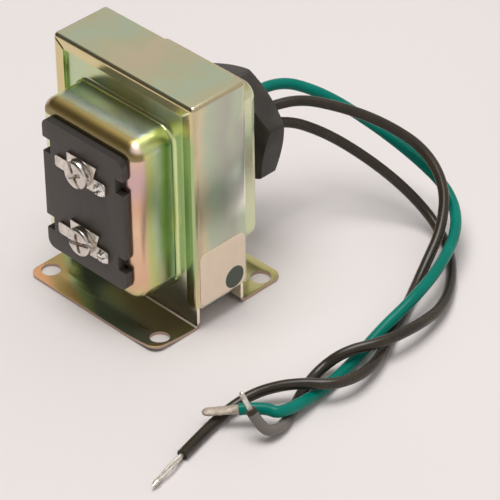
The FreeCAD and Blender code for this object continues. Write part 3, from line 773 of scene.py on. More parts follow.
@dataclass(frozen=True)
class Grained(Finish):
    """A finish of two colours, whose first grain mottles it and whose grains all shape its gloss."""

    base: Colour
    mottle: Colour
    grains: tuple[Grain, ...]
    smooth: float
    depth: float
    contrast: Span | None = None
    metallic: float = 0.0
    specular: float = 0.5
    relief: float = 0.5

    def tint(self, shader: Shader, place: Sock, values: list[Sock]) -> Sock:
        """Mix the colour.

        Args:
            shader: The material.
            place: Position on the piece, in metres.
            values: The grains' values.

        Returns:
            The colour.
        """
        share = values[0].step(*self.contrast) if self.contrast else values[0]
        return shader.mix(share, self.base, self.mottle)

    def make(self, shader: Shader, place: Sock) -> bpy.types.Material:
        """Build the material.

        Args:
            shader: The new material.
            place: Position on the piece, in metres.

        Returns:
            The finished material.
        """
        values = [shader.cloud(place, grain) for grain in self.grains]
        pairs = list(zip(self.grains, values))
        height = sum(value * grain.stands for grain, value in pairs)
        return shader.surface(
            self.tint(shader, place, values),
            Metallic=self.metallic,
            Roughness=sum((value * grain.roughens for grain, value in pairs), self.smooth),
            Specular_IOR_Level=self.specular,
            Normal=shader.bump(height, self.depth, self.relief),
        )


@dataclass(frozen=True)
class NickelPlate(Grained):
    """Dull nickel plating with fine handling marks."""

    slot: ClassVar[str] = "nickel_plate"
    base: Colour = (0.80, 0.75, 0.69)
    mottle: Colour = (0.55, 0.50, 0.45)
    grains: tuple[Grain, ...] = (
        Grain(500.0, 3.0, roughens=0.16, stands=0.6),
        Grain(1200.0, 3.0, 0.6, stretch=(1.0, 1.0, 6.0), roughens=0.05, stands=0.4),
    )
    smooth: float = 0.12
    depth: float = 0.06 * MM
    contrast: Span | None = (0.3, 0.75)
    metallic: float = 1.0


@dataclass(frozen=True)
class BrightTin(NickelPlate):
    """Bright tinned metal of the eyelets."""

    base: Colour = (0.95, 0.92, 0.88)
    mottle: Colour = (0.82, 0.78, 0.73)


@dataclass(frozen=True)
class BlackOxide(Grained):
    """Satin black finish of the locknut, a little rubbed."""

    slot: ClassVar[str] = "black_steel"
    base: Colour = (0.028, 0.024, 0.020)
    mottle: Colour = (0.054, 0.047, 0.041)
    grains: tuple[Grain, ...] = (Grain(130.0), Grain(800.0, 4.0, 0.6, roughens=0.16, stands=1.0))
    smooth: float = 0.40
    depth: float = 0.05 * MM
    contrast: Span | None = (0.3, 0.8)
    specular: float = 0.38


@dataclass(frozen=True)
class HubMetal(Grained):
    """Die-cast zinc of the threaded bushing."""

    slot: ClassVar[str] = "hub_metal"
    base: Colour = (0.46, 0.45, 0.43)
    mottle: Colour = (0.26, 0.25, 0.24)
    grains: tuple[Grain, ...] = (Grain(420.0, 4.0, 0.6, roughens=0.2, stands=1.0),)
    smooth: float = 0.36
    depth: float = 0.08 * MM
    contrast: Span | None = (0.35, 0.75)
    metallic: float = 1.0


@dataclass(frozen=True)
class Insulation(Grained):
    """Black extruded insulation of a lead."""

    slot: ClassVar[str] = "black_insulation"
    base: Colour = (0.024, 0.018, 0.011)
    mottle: Colour = (0.042, 0.032, 0.021)
    grains: tuple[Grain, ...] = (
        Grain(120.0, 3.0, roughens=0.12, stands=0.7),
        Grain(1500.0, roughens=0.06, stands=0.3),
    )
    smooth: float = 0.17
    depth: float = 0.06 * MM
    contrast: Span | None = (0.35, 0.8)
    specular: float = 0.36


@dataclass(frozen=True)
class GreenInsulation(Insulation):
    """Green insulation of the ground lead."""

    slot: ClassVar[str] = "green_insulation"
    base: Colour = (0.0, 0.160, 0.118)
    mottle: Colour = (0.0, 0.195, 0.148)
    smooth: float = 0.16
    specular: float = 0.14


@dataclass(frozen=True)
class GreyBendInsulation(Insulation):
    """Black insulation that is grey over the last bend of its lead, apart from its cut end."""

    grey_bend: Colour = (0.150, 0.134, 0.120)
    grey_bend_across: Span = (59.5, 61.5)
    grey_bend_deep: Span = (-17.5, -21.5)
    end_axis: Point = (-0.547, -0.116, 0.829)
    cut_reach: Span = (-25.1, -25.3)

    def tint(self, shader: Shader, place: Sock, values: list[Sock]) -> Sock:
        """Mix the colour.

        Args:
            shader: The material.
            place: Position on the lead, in metres.
            values: The grains' values.

        Returns:
            The colour.
        """
        spot = shader.millimetres(place)
        across, deep, _ = shader.split(spot)
        bent = across.step(*self.grey_bend_across) * deep.step(*self.grey_bend_deep)
        bent = bent * shader.along(spot, self.end_axis).step(*self.cut_reach)
        return shader.mix(bent, super().tint(shader, place, values), self.grey_bend)


@dataclass(frozen=True)
class TinnedStrand(Grained):
    """Bright tinned copper strands."""

    slot: ClassVar[str] = "tinned_strands"
    base: Colour = (0.90, 0.86, 0.79)
    mottle: Colour = (0.62, 0.58, 0.51)
    grains: tuple[Grain, ...] = (Grain(900.0, 3.0, 0.6, roughens=0.2, stands=1.0),)
    smooth: float = 0.30
    depth: float = 0.15 * MM
    contrast: Span | None = (0.3, 0.7)
    metallic: float = 1.0
    relief: float = 0.6


@dataclass(frozen=True)
class SolderedBundle(TinnedStrand):
    """Dull solder over the pressed end of the ground lead."""

    base: Colour = (0.62, 0.55, 0.47)
    mottle: Colour = (0.48, 0.42, 0.35)
    smooth: float = 0.62


@dataclass(frozen=True)
class LabelPaper(Grained):
    """Blank cream sticker with one plain round spot."""

    slot: ClassVar[str] = "label_paper"
    base: Colour = (0.93, 0.77, 0.60)
    mottle: Colour = (0.87, 0.70, 0.53)
    grains: tuple[Grain, ...] = (Grain(160.0), Grain(1800.0, 4.0, 0.6, roughens=0.12, stands=1.0))
    smooth: float = 0.55
    depth: float = 0.02 * MM
    contrast: Span | None = (0.3, 0.8)
    patch_share: float = 0.7
    spot: Colour = (0.066, 0.085, 0.060)
    spot_deep: float = 4.0
    spot_high: float = 10.9
    spot_radius: float = 3.15
    spot_blur: float = 0.8

    def tint(self, shader: Shader, place: Sock, values: list[Sock]) -> Sock:
        """Mix the colour.

        Args:
            shader: The material.
            place: Position on the sticker, in metres.
            values: The grains' values.

        Returns:
            The colour.
        """
        patch, fibre = values
        aged = patch.step(*self.contrast) * self.patch_share + fibre * (1.0 - self.patch_share)
        _, deep, high = shader.split(shader.millimetres(place))
        past = deep - self.spot_deep
        above = high - self.spot_high
        reach = self.spot_radius**2
        inside = (past * past + above * above).step(reach + self.spot_blur, reach - self.spot_blur)
        return shader.layered(self.base, (aged, self.mottle), (inside, self.spot))


@dataclass(frozen=True)
class CoreSteel(Finish):
    """Varnished edges of stacked laminations."""

    slot: ClassVar[str] = "core_steel"
    edge: Colour = (0.22, 0.21, 0.20)
    gap: Colour = (0.05, 0.045, 0.04)
    sheets_per_metre: float = 2000.0
    sheet_share: Span = (0.1, 0.5)
    varnish: Grain = Grain(200.0, 3.0, roughens=0.2)
    varnish_share: float = 0.4
    metallic: float = 0.6
    smooth: float = 0.45
    depth: float = 0.10 * MM
    relief: float = 0.8

    def make(self, shader: Shader, place: Sock) -> bpy.types.Material:
        """Build the material.

        Args:
            shader: The new material.
            place: Position on the piece, in metres.

        Returns:
            The finished material.
        """
        _, deep, _ = shader.split(place)
        sheets = deep.stripes(self.sheets_per_metre)
        varnish = shader.cloud(place, self.varnish)
        shine = (1.0 - self.varnish_share) + varnish * self.varnish_share
        return shader.surface(
            shader.mix(sheets.step(*self.sheet_share) * shine, self.gap, self.edge),
            Metallic=self.metallic,
            Roughness=self.smooth + varnish * self.varnish.roughens,
            Normal=shader.bump(sheets, self.depth, self.relief),
        )


@dataclass(frozen=True)
class CopperWire(Finish):
    """Enamelled copper turns."""

    slot: ClassVar[str] = "copper_wire"
    bright: Colour = (0.55, 0.22, 0.09)
    dark: Colour = (0.30, 0.10, 0.04)
    turns_per_metre: float = 1600.0
    turn_share: float = 0.7
    patch: Grain = Grain(300.0, roughens=0.1)
    metallic: float = 0.8
    smooth: float = 0.28
    depth: float = 0.20 * MM
    relief: float = 0.8

    def make(self, shader: Shader, place: Sock) -> bpy.types.Material:
        """Build the material.

        Args:
            shader: The new material.
            place: Position on the piece, in metres.

        Returns:
            The finished material.
        """
        across, _, _ = shader.split(place)
        turns = across.stripes(self.turns_per_metre)
        patch = shader.cloud(place, self.patch)
        share = turns * self.turn_share + patch * (1.0 - self.turn_share)
        return shader.surface(
            shader.mix(share, self.dark, self.bright),
            Metallic=self.metallic,
            Roughness=self.smooth + patch * self.patch.roughens,
            Normal=shader.bump(turns, self.depth, self.relief),
        )


@dataclass(frozen=True)
class CoilPaper(Grained):
    """Brown insulating paper round the coil."""

    slot: ClassVar[str] = "coil_paper"
    base: Colour = (0.52, 0.36, 0.18)
    mottle: Colour = (0.36, 0.23, 0.10)
    grains: tuple[Grain, ...] = (
        Grain(500.0, 4.0, 0.6, stretch=(4.0, 1.0, 1.0), roughens=0.1, stands=1.0),
    )
    smooth: float = 0.7
    depth: float = 0.06 * MM
    contrast: Span | None = (0.3, 0.7)
    relief: float = 0.6


@dataclass(frozen=True)
class Nylon(Grained):
    """Pale moulded nylon of the bobbin."""

    slot: ClassVar[str] = "bobbin_nylon"
    base: Colour = (0.66, 0.63, 0.55)
    mottle: Colour = (0.56, 0.52, 0.44)
    grains: tuple[Grain, ...] = (Grain(200.0, 3.0, roughens=0.1, stands=1.0),)
    smooth: float = 0.42
    depth: float = 0.04 * MM
    relief: float = 0.4


@dataclass(frozen=True)
class FuseCan(Grained):
    """Drawn metal can of the heat fuse."""

    slot: ClassVar[str] = "fuse_metal"
    base: Colour = (0.66, 0.66, 0.66)
    mottle: Colour = (0.50, 0.49, 0.48)
    grains: tuple[Grain, ...] = (Grain(1500.0, stretch=(0.2, 1.0, 1.0), roughens=0.12, stands=1.0),)
    smooth: float = 0.26
    depth: float = 0.03 * MM
    metallic: float = 1.0


@dataclass(frozen=True)
class PaleFloor(Grained):
    """Pale warm paper sweep under the object."""

    slot: ClassVar[str] = "floor"
    base: Colour = (0.742, 0.700, 0.692)
    mottle: Colour = (0.718, 0.677, 0.670)
    grains: tuple[Grain, ...] = (Grain(4.0), Grain(900.0, 3.0, roughens=0.1, stands=1.0))
    smooth: float = 0.72
    depth: float = 0.03 * MM
    contrast: Span | None = (0.3, 0.7)
    specular: float = 0.3
    relief: float = 0.3

    def dress(self, piece: bpy.types.Object) -> None:
        """Put the finish on the floor, which has no slot in the record."""
        piece.data.materials.append(self.material())


def around(count: int) -> list[float]:
    """Angles of points that are spread evenly round a circle."""
    return [math.tau * index / count for index in range(count)]


def oval(wide: float, thick: float, angle: float, level: float) -> Vector:
    """Point of an oval about the Z axis, by its angle and height."""
    return Vector((wide * math.cos(angle), thick * math.sin(angle), level))


def ring(out: float, level: float, count: int) -> Loop:
    """Points of a level circle about the Z axis."""
    return [oval(out, out, angle, level) for angle in around(count)]


def thread_dip(angle: float, level: float, pitch: float) -> float:
    """How far a thread dips, from 0 on its crest to 1 in its groove.

    Args:
        angle: Angle about the thread's axis.
        level: Place along the axis.
        pitch: Distance between crests, negative for the other hand.

    Returns:
        The share of the thread's depth.
    """
    phase = (angle / math.tau + level / pitch) % 1.0
    return 1.0 - abs(2.0 * phase - 1.0)


class Workshop:
    """Helpers that turn rings and copies into pieces."""

    weld: ClassVar[float] = 1e-7
    cut: ClassVar[float] = 1e-6
    flat_turn: ClassVar[float] = 0.5
    corner_turn: ClassVar[float] = 40.0
    edge_rows: ClassVar[int] = 2
    edge_profile: ClassVar[float] = 0.6

    @staticmethod
    def link(name: str, data: bpy.types.ID) -> bpy.types.Object:
        """Make an object of a mesh, curve, camera or light.

        Args:
            name: The object's name.
            data: What it shows.

        Returns:
            The new object, in the scene.
        """
        made = bpy.data.objects.new(name, data)
        bpy.context.scene.collection.objects.link(made)
        return made

    @staticmethod
    def stand_for(piece: bpy.types.Object, node: str) -> bpy.types.Object:
        """Let a piece ride on the body and stand for one of its solids.

        Args:
            piece: The piece.
            node: The solid's node.

        Returns:
            The piece.
        """
        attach(piece, ROOT)
        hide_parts(node)
        return piece

    @staticmethod
    def from_bmesh(name: str, made: bmesh.types.BMesh, sharp: float = 35.0) -> bpy.types.Object:
        """Turn a bmesh into a piece with smooth shading.

        Args:
            name: The piece's name.
            made: The mesh, which is freed.
            sharp: Edges that turn by more degrees than this stay sharp.

        Returns:
            The new object.
        """
        bmesh.ops.recalc_face_normals(made, faces=made.faces)
        for face in made.faces:
            face.smooth = True
        limit = math.radians(sharp)
        for edge in made.edges:
            edge.smooth = len(edge.link_faces) == 2 and edge.calc_face_angle(0.0) < limit
        mesh = bpy.data.meshes.new(name)
        made.to_mesh(mesh)
        made.free()
        return Workshop.link(name, mesh)

    @staticmethod
    def loft(made: bmesh.types.BMesh, rings: Sequence[Loop], capped: bool = True) -> None:
        """Skin a row of closed rings.

        Args:
            made: The mesh to add to.
            rings: Rings with the same number of points.
            capped: Whether the two ends are closed.
        """
        rows = [[made.verts.new(point) for point in loop] for loop in rings]
        for lower, upper in zip(rows, rows[1:]):
            count = len(lower)
            for index in range(count):
                after = (index + 1) % count
                made.faces.new((lower[index], lower[after], upper[after], upper[index]))
        if capped:
            made.faces.new(list(reversed(rows[0])))
            made.faces.new(rows[-1])

    @staticmethod
    def split_large_faces(made: bmesh.types.BMesh) -> None:
        """Cut faces of more than four corners into triangles."""
        bmesh.ops.triangulate(made, faces=[face for face in made.faces if len(face.verts) > 4])

    @staticmethod
    def bevelled_copy(name: str, node: str, width: float) -> bpy.types.Object:
        """Copy a solid with its sharp edges broken, and let the copy stand for it.

        Args:
            name: The piece's name.
            node: The solid's node.
            width: Width of the broken edges, in metres.

        Returns:
            The new object.
        """
        made = bmesh.new()
        made.from_mesh(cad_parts[node].data)
        bmesh.ops.remove_doubles(made, verts=made.verts, dist=Workshop.weld)
        flat = math.radians(Workshop.flat_turn)
        bmesh.ops.dissolve_limit(made, angle_limit=flat, verts=made.verts, edges=made.edges)
        corner = math.radians(Workshop.corner_turn)
        shared = [edge for edge in made.edges if len(edge.link_faces) == 2]
        bmesh.ops.bevel(
            made,
            geom=[edge for edge in shared if edge.calc_face_angle(0.0) > corner],
            offset=width,
            segments=Workshop.edge_rows,
            profile=Workshop.edge_profile,
            affect="EDGES",
            clamp_overlap=True,
        )
        Workshop.split_large_faces(made)
        return Workshop.stand_for(Workshop.from_bmesh(name, made), node)

    @staticmethod
    def cut_grid(piece: bpy.types.Object, front: float, level: float, spacing: float, count: int) -> None:
        """Cut the right front of a foot into a grid, so that it can be bent.

        Args:
            piece: The cover to cut.
            front: Place of the foot's front edge along Y.
            level: Height up to which faces are cut.
            spacing: Distance between the cuts.
            count: How many cuts are made each way.
        """
        made = bmesh.new()
        made.from_mesh(piece.data)
        right = max(vert.co.x for vert in made.verts)
        steps = [spacing * (number + 1) for number in range(count)]
        cuts = [((right - step, 0.0, 0.0), (1.0, 0.0, 0.0)) for step in steps]
        cuts += [((0.0, front + step, 0.0), (0.0, 1.0, 0.0)) for step in steps]
        for spot, normal in cuts:
            faces = [face for face in made.faces if all(vert.co.z < level for vert in face.verts)]
            edges = {edge for face in faces for edge in face.edges}
            verts = {vert for face in faces for vert in face.verts}
            geometry = faces + list(edges) + list(verts)
            bmesh.ops.bisect_plane(made, geom=geometry, dist=Workshop.cut, plane_co=spot, plane_no=normal)
        Workshop.split_large_faces(made)
        made.to_mesh(piece.data)
        made.free()


@dataclass
class Lead:
    """A free lead, from where it is joined inside the case to the cut end of its insulation."""

    name: str
    route: list[Point]
    diameter: float
    length: float
    finish: Finish
    smoothness: int = 14
    roundness: int = 7
    order: int = 3

    def points(self) -> list[Vector]:
        """Route points in metres."""
        return [Vector(point) * MM for point in self.route]

    def end(self) -> Matrix:
        """Find the frame at the cut end.

        Returns:
            A matrix whose Z axis runs on along the lead.
        """
        before, last = self.points()[-2:]
        turn = (last - before).to_track_quat("Z", "Y").to_matrix().to_4x4()
        return Matrix.Translation(last) @ turn

    def build(self, strands: bpy.types.Object) -> bpy.types.Object:
        """Lay the lead along its route.

        Args:
            strands: The bare end that goes with it; not used.

        Returns:
            The lead's curve.
        """
        curve = bpy.data.curves.new(f"{self.name}_insulation", "CURVE")
        curve.dimensions = "3D"
        curve.bevel_depth = self.diameter / 2
        curve.bevel_resolution = self.roundness
        curve.resolution_u = self.smoothness
        curve.use_fill_caps = True
        spline = curve.splines.new("NURBS")
        points = self.points()
        spline.points.add(len(points) - 1)
        for knot, point in zip(spline.points, points):
            knot.co = (*point, 1.0)
        spline.order_u = self.order
        spline.use_endpoint_u = True
        piece = Workshop.link(f"{self.name}_insulation", curve)
        self.finish.dress(piece)
        Workshop.stand_for(piece, self.name)
        return piece


@dataclass
class StrandEnd:
    """Bare tinned strands at the end of a lead, along Z from its cut end."""

    lead: str
    length: float
    radius: float
    finish: Finish
    rings: int = 40
    sharp: float = 60.0

    def shares(self) -> list[float]:
        """Shares of the length at which the rings stand."""
        return [step / self.rings for step in range(self.rings + 1)]

    def add_to(self, made: bmesh.types.BMesh) -> None:
        """Add the strands to a mesh."""
        raise NotImplementedError

    def build(self, place: Matrix) -> bpy.types.Object:
        """Make the strands.

        Args:
            place: Frame at the lead's cut end, with Z along it.

        Returns:
            The piece.
        """
        made = bmesh.new()
        self.add_to(made)
        made.transform(place)
        piece = Workshop.from_bmesh(f"{self.lead}_strands", made, self.sharp)
        self.finish.dress(piece)
        return Workshop.stand_for(piece, f"{self.lead}_end")


class Press(Enum):
    """Share by which a soldered bundle is flattened."""

    ROUND = 0.0
    FLAT = 1.0


@dataclass
class SolderedEnd(StrandEnd):
    """Strands soldered into one bundle, round or pressed flat, with their twist standing out."""

    press: Press = Press.ROUND
    segments: int = 48
    lays: int = 9
    twist: float = 5.0
    groove: float = 0.07
    press_rate: float = 1.6
    widening: float = 0.22
    thinning: float = 0.45
    tip_from: float = 0.82
    tip_left: float = 0.03

    def add_to(self, made: bmesh.types.BMesh) -> None:
        """Loft the bundle.

        Args:
            made: The mesh to add to.
        """
        rings = []
        for share in self.shares():
            past = max(0.0, (share - self.tip_from) / (1.0 - self.tip_from))
            tip = math.sqrt(max(0.0, 1.0 - past**2)) * (1.0 - self.tip_left) + self.tip_left
            flat = self.press.value * math.sin(min(share * self.press_rate, 1.0) * math.pi / 2)
            wide = self.radius * (1.0 + self.widening * flat) * tip
            thick = self.radius * (1.0 - self.thinning * flat) * tip
            loop = []
            for angle in around(self.segments):
                lay = abs(math.sin(HALF * self.lays * (angle + self.twist * share)))
                ridge = 1.0 - self.groove * lay
                loop.append(oval(wide * ridge, thick * ridge, angle, share * self.length))
            rings.append(loop)
        Workshop.loft(made, rings)


@dataclass
class SplayedEnd(StrandEnd):
    """Single strands in two splayed bundles that meet in a soldered tip.

    Sizes are shares of the end's radius, and places are shares of its length.
    """

    strands: int = 7
    strand: float = 0.24
    corners: int = 8
    apart: float = 0.30
    parting: float = 0.55
    meeting: float = 0.85
    spread: float = 0.42
    narrowing: float = 0.14
    squeeze: float = 0.8
    twist: float = 2.2
    sway: float = 0.25
    reach: float = 0.93
    tip_rings: int = 12
    tip_segments: int = 24
    tip_from: float = 0.70
    tip_radius: float = 0.98
    tip_turn: Span = (0.12, 0.86)
    tip_fullness: float = 0.7
    lump: float = 0.18
    lump_across: float = 1.6
    lump_along: float = 4.0

    def middle(self, side: int, phase: float, share: float) -> Vector:
        """Find the middle of a strand.

        Args:
            side: -1 for one bundle and 1 for the other.
            phase: The strand's angle in its bundle.
            share: Share of the strand's length.

        Returns:
            The place.
        """
        gap = self.apart + self.parting * math.sin(min(share / self.meeting, 1.0) * math.pi)
        sway = self.sway * math.sin(share * math.pi)
        bundle = Vector((side * gap, side * sway, 0.0)) * self.radius
        spread = self.radius * (self.spread - self.narrowing * share)
        level = share * self.length * self.reach
        return bundle + oval(spread * self.squeeze, spread, phase + self.twist * share * side, level)

    def tip_loop(self, share: float) -> Loop:
        """Points of a lumpy ring of the soldered tip.

        Args:
            share: Share of the tip's length.

        Returns:
            The ring.
        """
        start, turn = self.tip_turn
        out = self.radius * self.tip_radius * math.sin(math.pi * (start + turn * share)) ** self.tip_fullness
        level = self.length * (self.tip_from + (1.0 - self.tip_from) * share)
        loop = []
        for angle in around(self.tip_segments):
            spot = oval(self.lump_across, self.lump_across, angle, self.lump_along * share)
            wide = out * (1.0 + self.lump * noise.noise(spot))
            loop.append(oval(wide, wide * self.squeeze, angle, level))
        return loop

    def add_to(self, made: bmesh.types.BMesh) -> None:
        """Run the strands and put the tip on them.

        Args:
            made: The mesh to add to.
        """
        section = ring(self.radius * self.strand, 0.0, self.corners)
        for side in (-1, 1):
            for phase in around(self.strands):
                middles = [self.middle(side, phase, share) for share in self.shares()]
                Workshop.loft(made, [[middle + point for point in section] for middle in middles])
        Workshop.loft(made, [self.tip_loop(step / self.tip_rings) for step in range(self.tip_rings + 1)])


@dataclass
class Wiring:
    """The three leads and their bare ends, with routes in millimetres and lengths in metres."""

    ground_width: float = 3.0 * MM
    black_width: float = 2.8 * MM
    ground_length: float = 0.195
    line_length: float = 0.205
    neutral_length: float = 0.190
    ground_bundle: float = 1.25 * MM
    black_bundle: float = 0.7 * MM
    ground_bare: float = 9.0 * MM
    line_bare: float = 13.3 * MM
    neutral_bare: float = 5.0 * MM
    ground: list[Point] = field(default_factory=lambda: [
        (-3.0, 16.5, 36.0),
        (-3.0, 31.0, 36.0),
        (-4.0, 48.0, 36.0),
        (2.5, 57.5, 31.0),
        (13.5, 64.0, 24.2),
        (27.0, 68.0, 17.3),
        (38.5, 69.5, 11.0),
        (49.0, 61.5, 8.5),
        (56.5, 46.5, 8.0),
        (60.0, 32.5, 7.0),
        (60.0, 21.5, 4.0),
        (62.0, 9.0, 1.6),
        (64.5, -4.0, 1.6),
        (66.6, -21.4, 5.0),
        (62.2, -22.4, 5.4),
        (58.0, -27.0, 5.0),
    ])
    line: list[Point] = field(default_factory=lambda: [
        (3.0, 15.0, 36.0),
        (3.0, 29.0, 36.0),
        (5.5, 44.5, 36.5),
        (13.5, 54.0, 33.0),
        (21.5, 62.4, 27.6),
        (31.5, 67.3, 21.8),
        (41.0, 65.0, 15.5),
        (47.0, 57.0, 9.0),
        (50.0, 48.0, 4.5),
        (54.5, 37.5, 1.5),
        (61.0, 24.0, 1.5),
        (69.0, 8.5, 3.5),
        (69.5, -4.5, 6.0),
        (61.5, -11.0, 6.0),
        (55.5, -18.0, 4.0),
        (53.5, -25.5, 2.0),
        (55.0, -35.5, 1.5),
        (57.5, -45.5, 1.5),
    ])
    neutral: list[Point] = field(default_factory=lambda: [
        (0.5, 15.0, 31.0),
        (0.5, 27.5, 31.0),
        (5.5, 41.0, 31.6),
        (12.0, 49.5, 26.6),
        (21.0, 56.5, 19.3),
        (30.0, 62.0, 11.0),
        (39.5, 63.5, 4.0),
        (51.5, 57.0, 1.5),
        (63.5, 41.5, 2.5),
        (67.0, 26.5, 5.5),
        (66.0, 14.5, 6.5),
        (61.5, 6.5, 6.0),
        (58.5, 0.0, 2.0),
        (61.5, -9.5, 1.5),
        (66.5, -19.0, 1.5),
        (67.6, -23.8, 2.2),
        (66.8, -27.8, 4.0),
        (63.5, -28.5, 9.0),
    ])

    def build(self) -> list[bpy.types.Object]:
        """Lay the leads and put their bare ends on.

        Returns:
            The leads and ends.
        """
        runs = [
            (
                Lead("ground_lead", self.ground, self.ground_width, self.ground_length, GreenInsulation()),
                SolderedEnd(
                    "ground_lead", self.ground_bare, self.ground_bundle, SolderedBundle(), press=Press.FLAT
                ),
            ),
            (
                Lead("line_lead", self.line, self.black_width, self.line_length, Insulation()),
                SplayedEnd("line_lead", self.line_bare, self.black_bundle, TinnedStrand()),
            ),
            (
                Lead("neutral_lead", self.neutral, self.black_width, self.neutral_length, GreyBendInsulation()),
                SolderedEnd("neutral_lead", self.neutral_bare, self.black_bundle, TinnedStrand()),
            ),
        ]
        made = []
        for lead, end in runs:
            strands = end.build(lead.end())
            made += [lead.build(strands), strands]
        return made


@dataclass
class Case:
    """Covers and band of plated sheet steel."""

    edge: float = 0.12 * MM
    plating: Finish = field(default_factory=ZincPlate)
    corner_lift: float = 1.3 * MM
    corner_reach: float = 13.0 * MM
    corner_curve: float = 1.5
    foot_level: float = 2.0 * MM
    grid: float = 1.0 * MM
    grid_cuts: int = 12

    def lift_corner(self, cover: bpy.types.Object) -> None:
        """Bend the foot's right corner up a little.

        Args:
            cover: The front cover.
        """
        low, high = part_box("front_cover")
        Workshop.cut_grid(cover, low.y, self.foot_level, self.grid, self.grid_cuts)
        for vert in cover.data.vertices:
            into = (high.x - vert.co.x) + (vert.co.y - low.y)
            share = max(0.0, 1.0 - into / self.corner_reach)
            if vert.co.z < self.foot_level:
                vert.co.z += self.corner_lift * share**self.corner_curve

    def build(self) -> list[bpy.types.Object]:
        """Copy the sheet pieces with broken edges and dress them.

        Returns:
            The pieces.
        """
        front = Workshop.bevelled_copy("front_bell", "front_cover", self.edge)
        self.lift_corner(front)
        rear = Workshop.bevelled_copy("rear_bell", "rear_cover", self.edge)
        band = Workshop.bevelled_copy("wrapper_band", "case_band", self.edge)
        made = [front, rear, band]
        for piece in made:
            self.plating.dress(piece)
        return made


@dataclass
class ScrewHead:
    """Binding-head terminal screw with a cross and slot recess, and its thread."""

    node: str
    turn: float
    radius: float = 3.95 * MM
    height: float = 2.25 * MM
    seat: float = 2.2 * MM
    rounding: float = 0.75 * MM
    crown: float = 0.18 * MM
    chamfer: float = 0.1 * MM
    shank: float = 1.75 * MM
    shank_length: float = 5.5 * MM
    pitch: float = 0.8 * MM
    thread: float = 0.24 * MM
    rings_per_turn: int = 8
    slot: float = 1.15 * MM
    depth: float = 1.45 * MM
    slot_share: float = 0.62
    wall: float = 0.10 * MM
    cross_reach: float = 2.7 * MM
    cross_taper: float = 2.6
    rings: int = 52
    segments: int = 160
    sharp: float = 50.0

    def dome(self, out: float) -> float:
        """Height of the head at a distance from its axis, in metres."""
        past = max(0.0, out - self.radius + self.rounding) / self.rounding
        drop = self.rounding * (1.0 - math.sqrt(max(0.0, 1.0 - past**2)))
        return self.height - drop - self.crown * (out / self.radius) ** 2

    def cut(self, value: float) -> float:
        """Share of a cut's depth at a distance from its middle line."""
        return min(1.0, max(0.0, (self.slot / 2 - abs(value)) / self.wall))

    def recess(self, across: float, along: float) -> float:
        """Depth of the slot and cross at a place on the head.

        Args:
            across: Distance from the slot's middle line.
            along: Distance along the slot.

        Returns:
            The depth in metres.
        """
        slot = self.cut(across) * self.slot_share * self.depth
        taper = max(0.0, 1.0 - math.hypot(across, along) / self.cross_reach)
        cross = max(self.cut(across), self.cut(along)) * self.depth * min(1.0, self.cross_taper * taper)
        return max(slot, cross)

    def head(self) -> list[Loop]:
        """Rings of the head, from its middle to its shank.

        Returns:
            The rings.
        """
        rings = []
        for step in range(1, self.rings + 1):
            out = self.radius * step / self.rings
            loop = []
            for angle in around(self.segments):
                along = out * math.cos(angle - self.turn)
                across = out * math.sin(angle - self.turn)
                loop.append(oval(out, out, angle, self.dome(out) - self.recess(across, along)))
            rings.append(loop)
        skirt = [
            (self.radius, self.dome(self.radius) / 2),
            (self.radius, self.chamfer),
            (self.radius - self.chamfer, 0.0),
            (self.shank, 0.0),
        ]
        return rings + [ring(out, level, self.segments) for out, level in skirt]

    def threaded_shank(self) -> list[Loop]:
        """Rings of the shank, downwards from the head.

        Returns:
            The rings.
        """
        count = int(self.shank_length / self.pitch * self.rings_per_turn)
        rings = []
        for step in range(1, count + 1):
            level = -self.shank_length * step / count
            loop = []
            for angle in around(self.segments):
                out = self.shank - self.thread * thread_dip(angle, level, -self.pitch)
                loop.append(oval(out, out, angle, level))
            rings.append(loop)
        return rings

    def build(self) -> bpy.types.Object:
        """Make the screw.

        Returns:
            The piece.
        """
        low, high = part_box(self.node)
        middle = (low + high) / 2
        made = bmesh.new()
        Workshop.loft(made, self.head() + self.threaded_shank())
        made.transform(Matrix.Translation((middle.x, low.y + self.seat, middle.z)) @ TO_FRONT)
        piece = Workshop.from_bmesh(f"{self.node}_head", made, self.sharp)
        NickelPlate().dress(piece)
        return Workshop.stand_for(piece, self.node)


